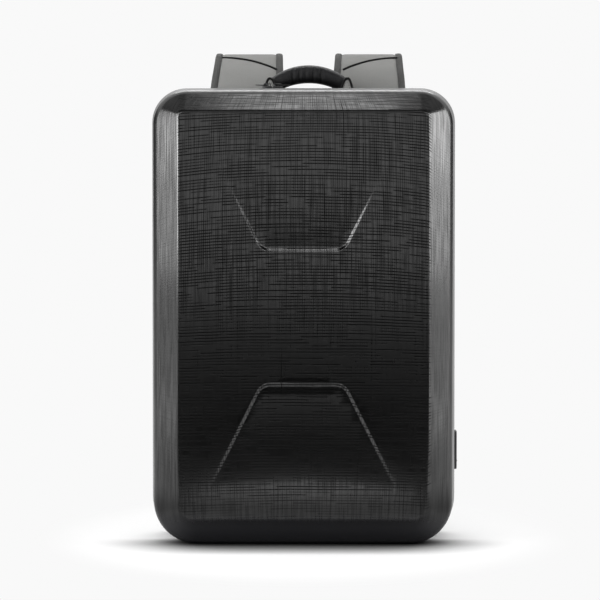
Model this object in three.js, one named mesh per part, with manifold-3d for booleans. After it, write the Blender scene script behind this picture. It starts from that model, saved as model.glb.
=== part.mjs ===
// A hard shell backpack standing upright on its base. Millimetres, +Z up.
// The moulded front shell faces -Y, the shoulder straps hang behind on +Y, and +X is the right hand side
// for someone who looks at the shell. The parting plane between shell and rear body is modelled at Y = 0,
// and the whole pack is then moved so that the origin lies under the middle of its bounding box.
import * as THREE from "three";
import { mergeVertices } from "three/addons/utils/BufferGeometryUtils.js";
import Module from "manifold-3d";

const wasm = await Module();
wasm.setup();

// Clearance between two pieces that touch on the real thing
const seatGap = 0.3;

// Hard front shell
const packWidth = 302;
const packHeight = 450;
const topCornerRadius = 38;
const bottomCornerRadius = 44;
const shellDepth = 68;
const shellWall = 2.4;
const wallDraft = 4.2;
const bevelSide = 25;
const bevelTop = 20.7;
const bevelBottom = 26;
const bevelDepth = 19;
const shoulderRadius = 9;
const panelEdgeRadius = 3;
const panelCrown = 6;

// The two pressed recesses in the front panel, above and below its middle
const recessBelowMiddle = 1.5;
const recessOffset = 66;
const recessHalfWidth = 40;
const recessLean = 0.5;
const recessReach = 98;
const recessDepth = 2.6;
const recessCorner = 14;

// Zip between the two halves
const zipWidth = 10;
const tapeInset = 1.4;
const tapeThickness = 2;
const coilWidth = 3.2;
const coilHeight = 1.4;

// Fabric rear body
const rearDepth = 58;
const rearInset = 3;
const rearWall = 3;
const rearEdgeRadius = 16;

// Zip sliders and their pull tabs
const sliderMeetX = -31;
const sliderLength = 10;
const sliderWidth = 8;
const sliderHeight = 3.4;
const sliderGap = 0.4;
const bridgeLength = 7.2;
const bridgeWidth = 2.4;
const bridgeBar = 1;
const bridgeWindow = 1.7;
const pullLength = 12;
const pullWidth = 6.6;
const pullThickness = 1.1;
const pullEye = 4.6;

// How far the soft handle and the strap tops sit over to +X of the shell's middle
const backLean = 5;

// Carry handle
const gripRise = 27.8;
const gripThickness = 18;
const gripDepth = 30;
const gripArcRadius = 61;
const tabSpacing = 76;
const tabBase = 14;
const tabLean = 1.3;
const tabHeight = 17;
const tabDepth = 34;

// Back pad
const padWidth = 232;
const padBottom = 88;
const padFromTop = 58;
const padThickness = 12;
const padEdgeRadius = 8;
const padChannelWidth = 26;
const padChannelDepth = 6;

// Shoulder straps
const strapWidth = 78;
const strapThickness = 12;
const strapEdge = 0.45;
const bindingRound = 2.4;
const strapFootWidth = 35;
const strapInnerX = 26.8;
const strapReach = 62;
const strapRise = 39;
const strapFoot = 152;

// Webbing, ladder lock adjusters and the wings that anchor the webbing
const webbingWidth = 25;
const webbingThickness = 1.6;
const lockWidth = 33;
const lockHeight = 30;
const lockThickness = 4;
const lockBar = 4;
const lockLip = 5;
const lockLowerWindow = 7;
const loopLength = 12;
const tailLength = 58;
const wingWidth = 30;
const wingHeight = 34;
const wingThickness = 2.5;
const wingFromSide = 39;
const wingFoot = 26;

// Charging port on the right side
const portHeight = 39;
const portWidth = 20;
const portThickness = 6.4;
const portMiddle = 86;
const portRim = 3;
const portCoverDepth = 1.6;

// Smoothness of arcs
const cornerSteps = 6;
const edgeSteps = 4;
const filletSteps = 3;

// Places that follow from the sizes above
const zipHalf = zipWidth / 2;
const backY = zipHalf + rearDepth;
const bodyTop = packHeight - rearInset;
const sideX = packWidth / 2 - rearInset;
const padHeight = packHeight - padFromTop - padBottom;
const strapTop = packHeight + strapRise;
const wingX = packWidth / 2 - wingFromSide;
const strapCentreX = strapInnerX + strapWidth / 2;
const padBackY = backY + seatGap + padThickness;
const lockY = backY + strapReach * 0.5;
const lockZ = strapFoot - seatGap - loopLength - lockHeight / 2 + lockBar;
const tapeTop = packHeight - tapeInset;

const metal = { color: 0x2b2b2d, roughness: 0.3, metalness: 0.9 };
const looks = {
  shell: { color: 0x1c1c1e, roughness: 0.34, metalness: 0 },
  bodyFabric: { color: 0x26272a, roughness: 0.85, metalness: 0 },
  tape: { color: 0x17181a, roughness: 0.9, metalness: 0 },
  coil: { color: 0x121214, roughness: 0.45, metalness: 0 },
  metal,
  grip: { color: 0x17171a, roughness: 0.5, metalness: 0 },
  strapFabric: { color: 0x7f7f7d, roughness: 0.9, metalness: 0 },
  mesh: { color: 0x1d1e20, roughness: 0.95, metalness: 0 },
  webbing: { color: 0x1a1a1c, roughness: 0.8, metalness: 0 },
  plastic: { color: 0x141416, roughness: 0.4, metalness: 0 },
  rubber: { color: 0x232426, roughness: 0.7, metalness: 0 },
};

// Geometry from points and triangles, with its faces pointing out
function closedGeometry(points, triangles) {
  let volume = 0;
  for (let i = 0; i < triangles.length; i += 3) {
    const [a, b, c] = [points[triangles[i]], points[triangles[i + 1]], points[triangles[i + 2]]];
    volume += a.dot(b.clone().cross(c));
  }
  if (volume < 0) triangles.reverse();
  const geometry = new THREE.BufferGeometry().setFromPoints(points);
  geometry.setIndex(triangles);
  return geometry;
}

// Joins rings that hold the same number of points: capped at both ends, or closed on itself as a hoop
function loft(rings, hoop = false) {
  const count = rings[0].length;
  const points = rings.flat();
  const triangles = [];
  const at = (ring, i) => (ring % rings.length) * count + (i % count);
  for (let ring = 0; ring < rings.length - (hoop ? 0 : 1); ring++) {
    for (let i = 0; i < count; i++) {
      triangles.push(at(ring, i), at(ring, i + 1), at(ring + 1, i + 1));
      triangles.push(at(ring, i), at(ring + 1, i + 1), at(ring + 1, i));
    }
  }
  if (!hoop) {
    const last = rings.length - 1;
    const first = points.push(middle(rings[0])) - 1;
    const end = points.push(middle(rings[last])) - 1;
    for (let i = 0; i < count; i++) {
      triangles.push(first, at(0, i + 1), at(0, i));
      triangles.push(end, at(last, i), at(last, i + 1));
    }
  }
  return closedGeometry(points, triangles);
}

function middle(ring) {
  return new THREE.Box3().setFromPoints(ring).getCenter(new THREE.Vector3());
}

function toSolid(geometry) {
  const plain = geometry.clone();
  for (const name of ["normal", "uv"]) plain.deleteAttribute(name);
  const merged = mergeVertices(plain, 1e-4);
  const vertProperties = merged.attributes.position.array;
  const triVerts = new Uint32Array(merged.index.array);
  return new wasm.Manifold(new wasm.Mesh({ numProp: 3, vertProperties, triVerts }));
}

function toGeometry(solid) {
  const { numProp, vertProperties, triVerts } = solid.getMesh();
  const geometry = new THREE.BufferGeometry();
  geometry.setAttribute("position", new THREE.BufferAttribute(vertProperties, numProp));
  geometry.setIndex(new THREE.BufferAttribute(triVerts, 1));
  return geometry;
}

function cut(geometry, ...tools) {
  return toGeometry(tools.reduce((solid, tool) => solid.subtract(toSolid(tool)), toSolid(geometry)));
}

function join(geometry, ...others) {
  return toGeometry(others.reduce((solid, other) => solid.add(toSolid(other)), toSolid(geometry)));
}

function shared(geometry, other) {
  return toGeometry(toSolid(geometry).intersect(toSolid(other)));
}

function block(xSize, ySize, zSize, x = 0, y = 0, z = 0) {
  return new THREE.BoxGeometry(xSize, ySize, zSize).translate(x, y, z);
}

// A line through corners {x, y, radius} whose corners are rounded off
function roundedLine(corners, closed = false) {
  const line = [];
  corners.forEach((corner, i) => {
    const here = new THREE.Vector2(corner.x, corner.y);
    const inside = closed || (i > 0 && i < corners.length - 1);
    if (!corner.radius || !inside) {
      line.push(here);
      return;
    }
    const before = corners[(i + corners.length - 1) % corners.length];
    const after = corners[(i + 1) % corners.length];
    const back = new THREE.Vector2(before.x, before.y).sub(here);
    const ahead = new THREE.Vector2(after.x, after.y).sub(here);
    const wanted = corner.radius * Math.tan((Math.PI - Math.abs(angleBetween(back, ahead))) / 2);
    const reach = Math.min(wanted, back.length() * 0.48, ahead.length() * 0.48);
    const start = here.clone().addScaledVector(back.normalize(), reach);
    const end = here.clone().addScaledVector(ahead.normalize(), reach);
    line.push(...new THREE.QuadraticBezierCurve(start, here, end).getPoints(filletSteps));
  });
  return line;
}

function angleBetween(a, b) {
  return Math.acos(THREE.MathUtils.clamp(a.dot(b) / (a.length() * b.length()), -1, 1));
}

// One ring of the pack's rounded outline at depth y, drawn in from the full outline
function outline(inset, y) {
  const left = -packWidth / 2 + inset.side;
  const right = -left;
  const low = inset.bottom;
  const high = packHeight - inset.top;
  const leastRadius = 4;
  const top = Math.max(topCornerRadius - (inset.side + inset.top) / 2, leastRadius);
  const bottom = Math.max(bottomCornerRadius - (inset.side + inset.bottom) / 2, leastRadius);
  const corners = [
    { x: right - bottom, z: low + bottom, radius: bottom },
    { x: right - top, z: high - top, radius: top },
    { x: left + top, z: high - top, radius: top },
    { x: left + bottom, z: low + bottom, radius: bottom },
  ];
  const ring = [];
  corners.forEach(({ x, z, radius }, quarter) => {
    for (let step = 0; step <= cornerSteps; step++) {
      const angle = (quarter - 1 + step / cornerSteps) * (Math.PI / 2);
      ring.push(new THREE.Vector3(x + radius * Math.cos(angle), y, z + radius * Math.sin(angle)));
    }
  });
  return withEdgePoints(ring);
}

// Adds the points that divide the straight edge after each corner
function withEdgePoints(ring) {
  const full = [];
  ring.forEach((point, i) => {
    full.push(point);
    if ((i + 1) % (cornerSteps + 1)) return;
    const next = ring[(i + 1) % ring.length];
    for (let step = 1; step < edgeSteps; step++) {
      full.push(point.clone().lerp(next, step / edgeSteps));
    }
  });
  return full;
}

function evenInset(amount) {
  return { side: amount, top: amount, bottom: amount };
}

// Insets of the shell's outline where its side wall or bevel has come in by a side inset
function shellInset(side, wall) {
  const alongBevel = Math.max(side - wallDraft, 0) / bevelSide;
  const alongWall = Math.min(side, wallDraft);
  return {
    side: side + wall,
    top: alongWall + alongBevel * bevelTop + wall,
    bottom: alongBevel * bevelBottom + wall,
  };
}

// The shell's outer form, or with a wall given the hollow that lies that far inside it
function shellForm(wall) {
  const rimY = wall ? 1 : -zipHalf;
  const panelY = -zipHalf - shellDepth + wall;
  const panelInset = wallDraft + bevelSide;
  const profile = roundedLine([
    { x: 0, y: rimY },
    { x: wallDraft, y: panelY + bevelDepth, radius: shoulderRadius },
    { x: panelInset, y: panelY, radius: panelEdgeRadius },
    { x: panelInset + 2 * panelEdgeRadius, y: panelY },
  ]);
  const rings = profile.map(({ x, y }) => outline(shellInset(x, wall), y));
  const edge = rings.at(-1);
  const centre = middle(edge);
  for (const share of [0.92, 0.8, 0.68, 0.54, 0.4, 0.26, 0.12]) {
    const ring = edge.map((point) => centre.clone().lerp(point, share));
    for (const point of ring) point.y = panelY - crownAt(point.x, point.z - packHeight / 2);
    rings.push(ring);
  }
  return loft(rings);
}

// How far the front panel stands off the plane of its edge at a place measured from its middle
function crownAt(x, z) {
  const across = x / (packWidth / 2 - wallDraft - bevelSide);
  const up = z / (packHeight / 2 - bevelTop);
  return panelCrown * Math.max(1 - across ** 2, 0) * Math.max(1 - up ** 4, 0);
}

// The block that presses one recess: deepest at its ledge, and flush with the crowned panel at its far end.
// Inside the shell it is wider by the wall, so that the wall goes round the ledge at its full thickness.
function recessTool(direction, wall) {
  const nearHalf = recessHalfWidth + wall;
  const farHalf = nearHalf + recessLean * recessReach;
  const corners = [
    { x: -nearHalf, y: -wall, radius: recessCorner + wall },
    { x: nearHalf, y: -wall, radius: recessCorner + wall },
    { x: farHalf, y: recessReach },
    { x: -farHalf, y: recessReach },
  ];
  const edge = withMiddles(roundedLine(corners, true), 4);
  const panelY = -zipHalf - shellDepth + wall;
  const centre = new THREE.Vector2(0, recessReach / 2);
  const place = (point, share, height) => {
    const { x, y } = centre.clone().lerp(point, share);
    const z = direction * (recessOffset + y) - recessBelowMiddle;
    const fade = Math.max(y, 0) / recessReach;
    const depth = recessDepth * (1 - fade) - seatGap * fade;
    return new THREE.Vector3(x, height ?? panelY - crownAt(x, z) + depth, packHeight / 2 + z);
  };
  const rings = [edge.map((point) => place(point, 1, panelY - 4 * panelCrown))];
  for (const share of [1, 0.8, 0.6, 0.4, 0.2]) rings.push(edge.map((point) => place(point, share)));
  return loft(rings);
}

// Divides the longer spans of a closed line
function withMiddles(line, parts) {
  const longSpan = 20;
  return line.flatMap((point, i) => {
    const next = line[(i + 1) % line.length];
    const steps = point.distanceTo(next) > longSpan ? parts : 1;
    return Array.from({ length: steps }, (_, step) => point.clone().lerp(next, step / steps));
  });
}

function frontShell() {
  const recesses = (wall) => [recessTool(1, wall), recessTool(-1, wall)];
  const outer = cut(shellForm(0), ...recesses(0));
  const hollow = cut(shellForm(shellWall), ...recesses(shellWall));
  return cut(outer, hollow);
}

function rearForm(wall) {
  const frontY = wall ? 0 : zipHalf;
  const endY = backY - wall;
  const profile = roundedLine([
    { x: wall, y: frontY },
    { x: wall, y: endY, radius: rearEdgeRadius - wall },
    { x: wall + 2 * rearEdgeRadius, y: endY },
  ]);
  return loft(profile.map(({ x, y }) => outline({ side: rearInset + x, top: rearInset + x, bottom: x }, y)));
}

function rearBody() {
  return cut(rearForm(0), rearForm(rearWall));
}

function zipTape() {
  const half = zipHalf - seatGap;
  const inner = tapeInset + tapeThickness;
  const profile = [[tapeInset, -half], [tapeInset, half], [inner, half], [inner, -half]];
  return loft(profile.map(([inset, y]) => outline(evenInset(inset), y)), true);
}

// The coil runs up one side, over the top and down the other, and leaves the base to a plain fabric hinge
function zipCoil() {
  const low = tapeInset - seatGap;
  const high = low - coilHeight;
  const half = coilWidth / 2;
  const profile = [[low, -half], [high, -half / 2], [high, half / 2], [low, half]];
  const hoops = profile.map(([inset, y]) => outline(evenInset(inset), y));
  const start = cornerSteps;
  const end = 3 * (cornerSteps + edgeSteps);
  const stations = [];
  for (let i = start; i <= end; i++) stations.push(hoops.map((hoop) => hoop[i]));
  return loft(stations);
}

// A slider seen along the zip: it straddles the coil and carries a bridge for its pull tab
function zipSlider() {
  const bottom = seatGap;
  const top = bottom + sliderHeight;
  const nose = sliderLength * 0.3;
  const body = new THREE.Shape([
    new THREE.Vector2(-sliderLength / 2, -sliderWidth * 0.32),
    new THREE.Vector2(-sliderLength / 2, sliderWidth * 0.32),
    new THREE.Vector2(sliderLength / 2 - nose, sliderWidth / 2),
    new THREE.Vector2(sliderLength / 2, sliderWidth / 2),
    new THREE.Vector2(sliderLength / 2, -sliderWidth / 2),
    new THREE.Vector2(sliderLength / 2 - nose, -sliderWidth / 2),
  ]);
  const plate = new THREE.ExtrudeGeometry(body, { depth: sliderHeight, bevelEnabled: false });
  plate.translate(0, 0, bottom);
  const channelWidth = coilWidth + 2 * seatGap;
  const channelTop = coilHeight + 3 * seatGap;
  const channel = block(2 * sliderLength, channelWidth, 2 * channelTop);
  const bridgeTop = bridgeWindow + bridgeBar;
  const bridge = block(bridgeLength, bridgeWidth, bridgeTop + 1, 0, 0, top + bridgeTop / 2 - 0.5);
  const windowLength = bridgeLength - 2 * bridgeBar;
  const opening = block(windowLength, 2 * sliderWidth, bridgeWindow, 0, 0, top + bridgeWindow / 2);
  return cut(join(plate, cut(bridge, opening)), channel);
}

// The pull tab, drawn about its hinge line and lying out along -X
function zipPull() {
  const half = pullWidth / 2;
  const tip = half * 0.8;
  const barHalf = pullThickness / 2;
  const outlineCorners = [
    { x: barHalf * 2, y: -half },
    { x: barHalf * 2, y: half },
    { x: 0, y: half },
    { x: -pullLength, y: tip, radius: 2.4 },
    { x: -pullLength, y: -tip, radius: 2.4 },
    { x: 0, y: -half },
  ];
  const plan = extrudeBothWays(new THREE.Shape(roundedLine(outlineCorners, true)), 4 * pullThickness);
  const edge = new THREE.Shape();
  edge.moveTo(-2 * pullLength, -barHalf);
  edge.absarc(0, 0, barHalf, -Math.PI / 2, Math.PI / 2);
  edge.lineTo(-2 * pullLength, barHalf);
  const plate = extrudeBothWays(edge, 2 * pullWidth).rotateX(Math.PI / 2);
  const eye = block(barHalf + pullEye, bridgeWidth + 1.2, 2 * pullThickness, -(barHalf + pullEye) / 2);
  const bar = new THREE.CylinderGeometry(barHalf, barHalf, 2 * pullWidth, 12);
  return cut(shared(plan, plate), cut(eye, bar));
}

// Extrudes a flat shape the same distance up and down from its plane
function extrudeBothWays(shape, depth) {
  const options = { depth, bevelEnabled: false, curveSegments: 6 };
  return new THREE.ExtrudeGeometry(shape, options).translate(0, 0, -depth / 2);
}

// The padded grip: an arch whose rounded section thins towards its ends
function carryGrip() {
  const turns = [
    { share: -1, thick: 0.68, deep: 0.82 },
    { share: -0.78, thick: 0.82, deep: 0.93 },
    { share: -0.45, thick: 0.94, deep: 1 },
    { share: -0.15, thick: 1, deep: 1 },
    { share: 0.15, thick: 1, deep: 1 },
    { share: 0.45, thick: 0.94, deep: 1 },
    { share: 0.78, thick: 0.82, deep: 0.93 },
    { share: 1, thick: 0.68, deep: 0.82 },
  ];
  const apexZ = bodyTop + gripRise - gripThickness / 2;
  const reach = Math.asin(Math.min((tabSpacing / 2 + 4) / gripArcRadius, 1));
  const sides = 14;
  const rings = turns.map(({ share, thick, deep }) => {
    const turn = share * reach;
    const centre = new THREE.Vector3(
      backLean + gripArcRadius * Math.sin(turn),
      zipHalf + rearDepth / 2,
      apexZ - gripArcRadius * (1 - Math.cos(turn)),
    );
    const out = new THREE.Vector3(Math.sin(turn), 0, Math.cos(turn));
    return roundSection(centre, out, (gripDepth / 2) * deep, (gripThickness / 2) * thick, sides);
  });
  const held = cut(loft(rings), handleTab(-1, seatGap), handleTab(1, seatGap), bodyTopBlock());
  const size = 2 * tabSpacing;
  const span = block(tabSpacing, size, size, backLean, backY / 2, bodyTop);
  return shared(held, span);
}

// A squarish round section in the plane of Y and an outward direction
function roundSection(centre, out, halfDeep, halfThick, sides) {
  const ring = [];
  const squareness = 0.7;
  for (let i = 0; i < sides; i++) {
    const angle = (i / sides) * 2 * Math.PI;
    const across = Math.sign(Math.cos(angle)) * Math.abs(Math.cos(angle)) ** squareness;
    const up = Math.sign(Math.sin(angle)) * Math.abs(Math.sin(angle)) ** squareness;
    const point = centre.clone().addScaledVector(out, halfThick * up);
    point.y += halfDeep * across;
    ring.push(point);
  }
  return ring;
}

// Keeps the grip clear of the top of the rear body
function bodyTopBlock() {
  const size = 2 * tabSpacing;
  return block(size, size, size, 0, backY / 2, bodyTop + seatGap - size / 2);
}

// The folded fabric tab that holds one end of the grip, grown all round when a clearance is given
function handleTab(side, grown = 0) {
  const low = bodyTop + seatGap - grown;
  const inner = { x: -tabBase / 2 - grown, y: low };
  const outer = { x: tabBase / 2 + grown, y: low };
  const peak = { x: tabLean, y: bodyTop + tabHeight + 2 * grown, radius: 3 };
  const shape = new THREE.Shape(roundedLine([inner, outer, peak], true));
  const depth = tabDepth + 2 * grown;
  const tab = new THREE.ExtrudeGeometry(shape, { depth, bevelEnabled: false });
  tab.translate(0, 0, -depth / 2);
  tab.rotateX(Math.PI / 2);
  if (side < 0) tab.rotateZ(Math.PI);
  return tab.translate(backLean + (side * tabSpacing) / 2, zipHalf + rearDepth / 2, 0);
}

// The padded back panel, with one upright channel down its middle
function backPad() {
  const half = padWidth / 2;
  const startY = backY + seatGap;
  const profile = roundedLine([
    { x: 0, y: startY },
    { x: 0, y: padBackY, radius: padEdgeRadius },
    { x: 3 * padEdgeRadius, y: padBackY },
  ]);
  const radius = 26;
  const rings = profile.map(({ x: inset, y }) => {
    const corners = [
      { x: -half + inset, y: padBottom + inset, radius },
      { x: half - inset, y: padBottom + inset, radius },
      { x: half - inset, y: padBottom + padHeight - inset, radius },
      { x: -half + inset, y: padBottom + padHeight - inset, radius },
    ];
    return roundedLine(corners, true).map((p) => new THREE.Vector3(p.x, y, p.y));
  });
  const channel = new THREE.CylinderGeometry(padChannelWidth / 2, padChannelWidth / 2, 2 * padHeight, 12);
  channel.scale(1, 1, (2 * padChannelDepth) / padChannelWidth);
  channel.rotateX(Math.PI / 2);
  channel.translate(0, padBackY, padBottom + padHeight / 2);
  return cut(loft(rings), channel);
}

// Stations down one shoulder strap. up is a share of strapTop, out of strapReach, spread of packWidth,
// wide of strapWidth and thick of strapThickness
const strapStations = [
  { place: "sewn end", up: 0.808, out: 0.1, spread: 0, wide: 1, thick: 0.8 },
  { place: "back edge", up: 0.88, out: 0.105, spread: 0, wide: 1, thick: 0.9 },
  { place: "rising", up: 0.935, out: 0.115, spread: -0.004, wide: 0.955, thick: 1 },
  { place: "front of the fold", up: 0.968, out: 0.15, spread: -0.01, wide: 0.91, thick: 1 },
  { place: "crest", up: 0.988, out: 0.33, spread: -0.0135, wide: 0.885, thick: 1 },
  { place: "behind the crest", up: 0.972, out: 0.6, spread: -0.01, wide: 0.885, thick: 1 },
  { place: "falling", up: 0.915, out: 0.83, spread: 0, wide: 0.89, thick: 1 },
  { place: "shoulder", up: 0.84, out: 0.93, spread: 0.015, wide: 0.9, thick: 1 },
  { place: "upper back", up: 0.74, out: 0.96, spread: 0.04, wide: 0.88, thick: 1 },
  { place: "middle", up: 0.62, out: 0.9, spread: 0.062, wide: 0.82, thick: 1 },
  { place: "lower", up: 0.48, out: 0.74, spread: 0.076, wide: 0.69, thick: 0.95 },
  { place: "tail", up: 0.38, out: 0.58, spread: 0.08, wide: 0.52, thick: 0.85 },
];

// The strap's centre line and the width and thickness along it, ending square above the adjuster
function strapLine() {
  const points = strapStations.map(
    ({ up, out, spread }) =>
      new THREE.Vector3(strapCentreX + spread * packWidth, backY + out * strapReach, up * strapTop),
  );
  const widths = strapStations.map(({ wide, thick }) => [wide * strapWidth, thick * strapThickness]);
  const footX = points.at(-1).x;
  points.push(new THREE.Vector3(footX, lockY, strapFoot - strapThickness));
  widths.push([strapFootWidth, 0.68 * strapThickness]);
  return { curve: new THREE.CatmullRomCurve3(points, false, "centripetal"), widths, footX };
}

function shoulderStrap(side) {
  const { curve, widths } = strapLine();
  const spans = widths.length - 1;
  const perSpan = 3;
  const rings = [];
  for (let i = 0; i <= spans * perSpan; i++) {
    const at = i / (spans * perSpan);
    const span = Math.min(Math.floor(i / perSpan), spans - 1);
    const [wide, thick] = widths[span].map((size, k) =>
      THREE.MathUtils.lerp(size, widths[span + 1][k], i / perSpan - span),
    );
    rings.push(strapSection(curve.getPoint(at), curve.getTangent(at), wide, thick, side));
  }
  const size = 2 * packWidth;
  return cut(loft(rings), block(size, size, size, 0, 0, strapFoot - size / 2));
}

// The straps' tops lean over with the handle, and their feet stay square to the pack
function leanAt(z) {
  return backLean * THREE.MathUtils.smoothstep(z, strapFoot, bodyTop);
}

// A padded slab with rounded edges
function strapSection(centre, tangent, wide, thick, side) {
  const out = new THREE.Vector3(0, tangent.z, -tangent.y).normalize();
  const half = wide / 2;
  const flat = thick / 2;
  const edge = flat * strapEdge;
  const corners = [
    [-half, -edge], [-half + bindingRound, -flat], [0, -flat], [half - bindingRound, -flat], [half, -edge],
    [half, edge], [half - bindingRound, flat], [0, flat], [-half + bindingRound, flat], [-half, edge],
  ];
  return corners.map(([across, through]) => {
    const point = centre.clone().addScaledVector(out, through);
    point.x = side * (point.x + across) + leanAt(point.z);
    return point;
  });
}

// A flat band of webbing along a line of points, one width and one thickness all the way
function webbing(line, side) {
  const rings = line.map((point, i) => {
    const before = line[Math.max(i - 1, 0)];
    const after = line[Math.min(i + 1, line.length - 1)];
    const along = after.clone().sub(before);
    const out = new THREE.Vector3(0, along.z, -along.y).normalize();
    const half = webbingWidth / 2;
    const flat = webbingThickness / 2;
    return [[-half, -flat], [half, -flat], [half, flat], [-half, flat]].map(([across, through]) => {
      const corner = point.clone().addScaledVector(out, through);
      corner.x = side * (corner.x + across);
      return corner;
    });
  });
  return loft(rings);
}

// Half the distance between two layers of webbing that pass round a bar of the adjuster
const wrap = lockThickness / 2 + seatGap + webbingThickness / 2;

// A short loop from the strap's end round the adjuster's top bar
function adjusterLoop(side) {
  const { footX } = strapLine();
  const barBottom = lockZ + lockHeight / 2 - lockBar;
  const low = barBottom - seatGap - webbingThickness / 2;
  const high = strapFoot - seatGap;
  const line = roundedLine([
    { x: lockY - wrap, y: high },
    { x: lockY - wrap, y: low, radius: 1.5 },
    { x: lockY + wrap, y: low, radius: 1.5 },
    { x: lockY + wrap, y: high },
  ]);
  return webbing(line.map((p) => new THREE.Vector3(footX, p.x, p.y)), side);
}

// The ladder lock: a frame with an upper window for both webbings and a lower one under its middle bar
function strapAdjuster(side) {
  const { footX } = strapLine();
  const windowWidth = webbingWidth + 1.6;
  const lowerWindowZ = lockZ - lockHeight / 2 + lockLip + lockLowerWindow / 2;
  const upperLow = lowerWindowZ + lockLowerWindow / 2 + lockBar;
  const upperHigh = lockZ + lockHeight / 2 - lockBar;
  const x = side * footX;
  const through = 4 * lockThickness;
  const frame = block(lockWidth, lockThickness, lockHeight, x, lockY, lockZ);
  const lower = block(windowWidth, through, lockLowerWindow, x, lockY, lowerWindowZ);
  const upper = block(windowWidth, through, upperHigh - upperLow, x, lockY, (upperLow + upperHigh) / 2);
  return cut(frame, lower, upper);
}

// The lower webbing: up from the wing, over the adjuster's middle bar and down again as a free tail
function lowerWebbing(side) {
  const { footX } = strapLine();
  const barTop = lockZ - lockHeight / 2 + lockLip + lockLowerWindow + lockBar;
  const over = barTop + seatGap + webbingThickness / 2;
  const lockBottom = lockZ - lockHeight / 2;
  const sewnY = backY + seatGap + wingThickness + seatGap + webbingThickness / 2;
  const line = roundedLine([
    { x: sewnY, y: wingFoot + 6 },
    { x: sewnY, y: wingFoot + wingHeight * 0.6, radius: 30 },
    { x: lockY - wrap, y: lockBottom, radius: 20 },
    { x: lockY - wrap, y: over, radius: 1.5 },
    { x: lockY + wrap, y: over, radius: 1.5 },
    { x: lockY + wrap, y: lockBottom, radius: 30 },
    { x: lockY + wrap + 3, y: lockBottom - tailLength },
  ]);
  const high = lockBottom;
  const low = wingFoot + wingHeight * 0.6;
  let pastTheBar = false;
  const placed = line.map((p) => {
    pastTheBar = pastTheBar || p.x > lockY;
    const drop = pastTheBar ? 0 : THREE.MathUtils.clamp((high - p.y) / (high - low), 0, 1);
    return new THREE.Vector3(THREE.MathUtils.lerp(footX, wingX, drop), p.x, p.y);
  });
  return webbing(placed, side);
}

// The fabric wing sewn flat on the back, which anchors the lower webbing
function anchorWing(side) {
  const half = wingWidth / 2;
  const corners = [
    { x: -half, y: 0, radius: 3 },
    { x: half, y: 0, radius: 3 },
    { x: half * 0.86, y: wingHeight, radius: 3 },
    { x: -half * 0.86, y: wingHeight, radius: 3 },
  ];
  const shape = new THREE.Shape(roundedLine(corners, true));
  const wing = new THREE.ExtrudeGeometry(shape, { depth: wingThickness, bevelEnabled: false });
  wing.rotateX(Math.PI / 2);
  return wing.translate(side * wingX, backY + seatGap + wingThickness, wingFoot);
}

// A rounded plate in Y and Z that grows out along +X from a starting face
function sidePlate(width, height, radius, startX, thickness) {
  const halfWidth = width / 2;
  const halfHeight = height / 2;
  const corners = [
    { x: -halfWidth, y: -halfHeight, radius },
    { x: halfWidth, y: -halfHeight, radius },
    { x: halfWidth, y: halfHeight, radius },
    { x: -halfWidth, y: halfHeight, radius },
  ];
  const shape = new THREE.Shape(roundedLine(corners, true));
  const plate = new THREE.ExtrudeGeometry(shape, { depth: thickness, bevelEnabled: false });
  plate.rotateX(Math.PI / 2);
  plate.rotateZ(Math.PI / 2);
  return plate.translate(startX, zipHalf + rearDepth / 2 - 4, portMiddle);
}

function portPlate() {
  const startX = sideX + seatGap;
  const plate = sidePlate(portWidth, portHeight, 4, startX, portThickness);
  const pocketX = startX + portThickness - portCoverDepth - seatGap;
  const pocket = sidePlate(portWidth - 2 * portRim, portHeight - 2 * portRim, 3, pocketX, portThickness);
  return cut(plate, pocket);
}

function portCover() {
  const startX = sideX + seatGap + portThickness - portCoverDepth;
  const width = portWidth - 2 * portRim - 2 * seatGap;
  const height = portHeight - 2 * portRim - 2 * seatGap;
  return sidePlate(width, height, 3, startX, portCoverDepth);
}

const pack = new THREE.Group();

function add(name, geometry, look, parent = pack) {
  const mesh = new THREE.Mesh(geometry, new THREE.MeshStandardMaterial(look));
  mesh.name = name;
  parent.add(mesh);
  return mesh;
}

// A slider and its pull tab, set on the coil at the top; the pull lies out towards the given side
function addSlider(name, side) {
  const group = new THREE.Group();
  group.position.set(sliderMeetX + side * (sliderLength + sliderGap) * 0.5, 0, tapeTop);
  if (side > 0) group.rotation.z = Math.PI;
  add("zip_slider_" + name, zipSlider(), looks.metal, group);
  const pull = add("zip_pull_" + name, zipPull(), looks.metal, group);
  pull.position.z = seatGap + sliderHeight + bridgeWindow / 2;
  pack.add(group);
}

add("front_shell", frontShell(), looks.shell);
add("rear_body", rearBody(), looks.bodyFabric);
add("zip_tape", zipTape(), looks.tape);
add("zip_coil", zipCoil(), looks.coil);
addSlider("left", -1);
addSlider("right", 1);
add("carry_grip", carryGrip(), looks.grip);
add("back_pad", backPad(), looks.mesh);
add("port_plate", portPlate(), looks.plastic);
add("port_cover", portCover(), looks.rubber);
for (const [name, side] of [["left", -1], ["right", 1]]) {
  add("handle_tab_" + name, handleTab(side), looks.strapFabric);
  add("shoulder_strap_" + name, shoulderStrap(side), looks.strapFabric);
  add("adjuster_loop_" + name, adjusterLoop(side), looks.webbing);
  add("strap_adjuster_" + name, strapAdjuster(side), looks.plastic);
  add("lower_webbing_" + name, lowerWebbing(side), looks.webbing);
  add("anchor_wing_" + name, anchorWing(side), looks.bodyFabric);
}

// Origin under the middle of the bounding box
pack.updateMatrixWorld(true);
const middleOfBox = new THREE.Box3().setFromObject(pack, true).getCenter(new THREE.Vector3());
pack.position.set(-middleOfBox.x, -middleOfBox.y, 0);

export default pack;
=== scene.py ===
import math

import bmesh
import bpy
from mathutils import Matrix, Vector
from mathutils.bvhtree import BVHTree


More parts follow.
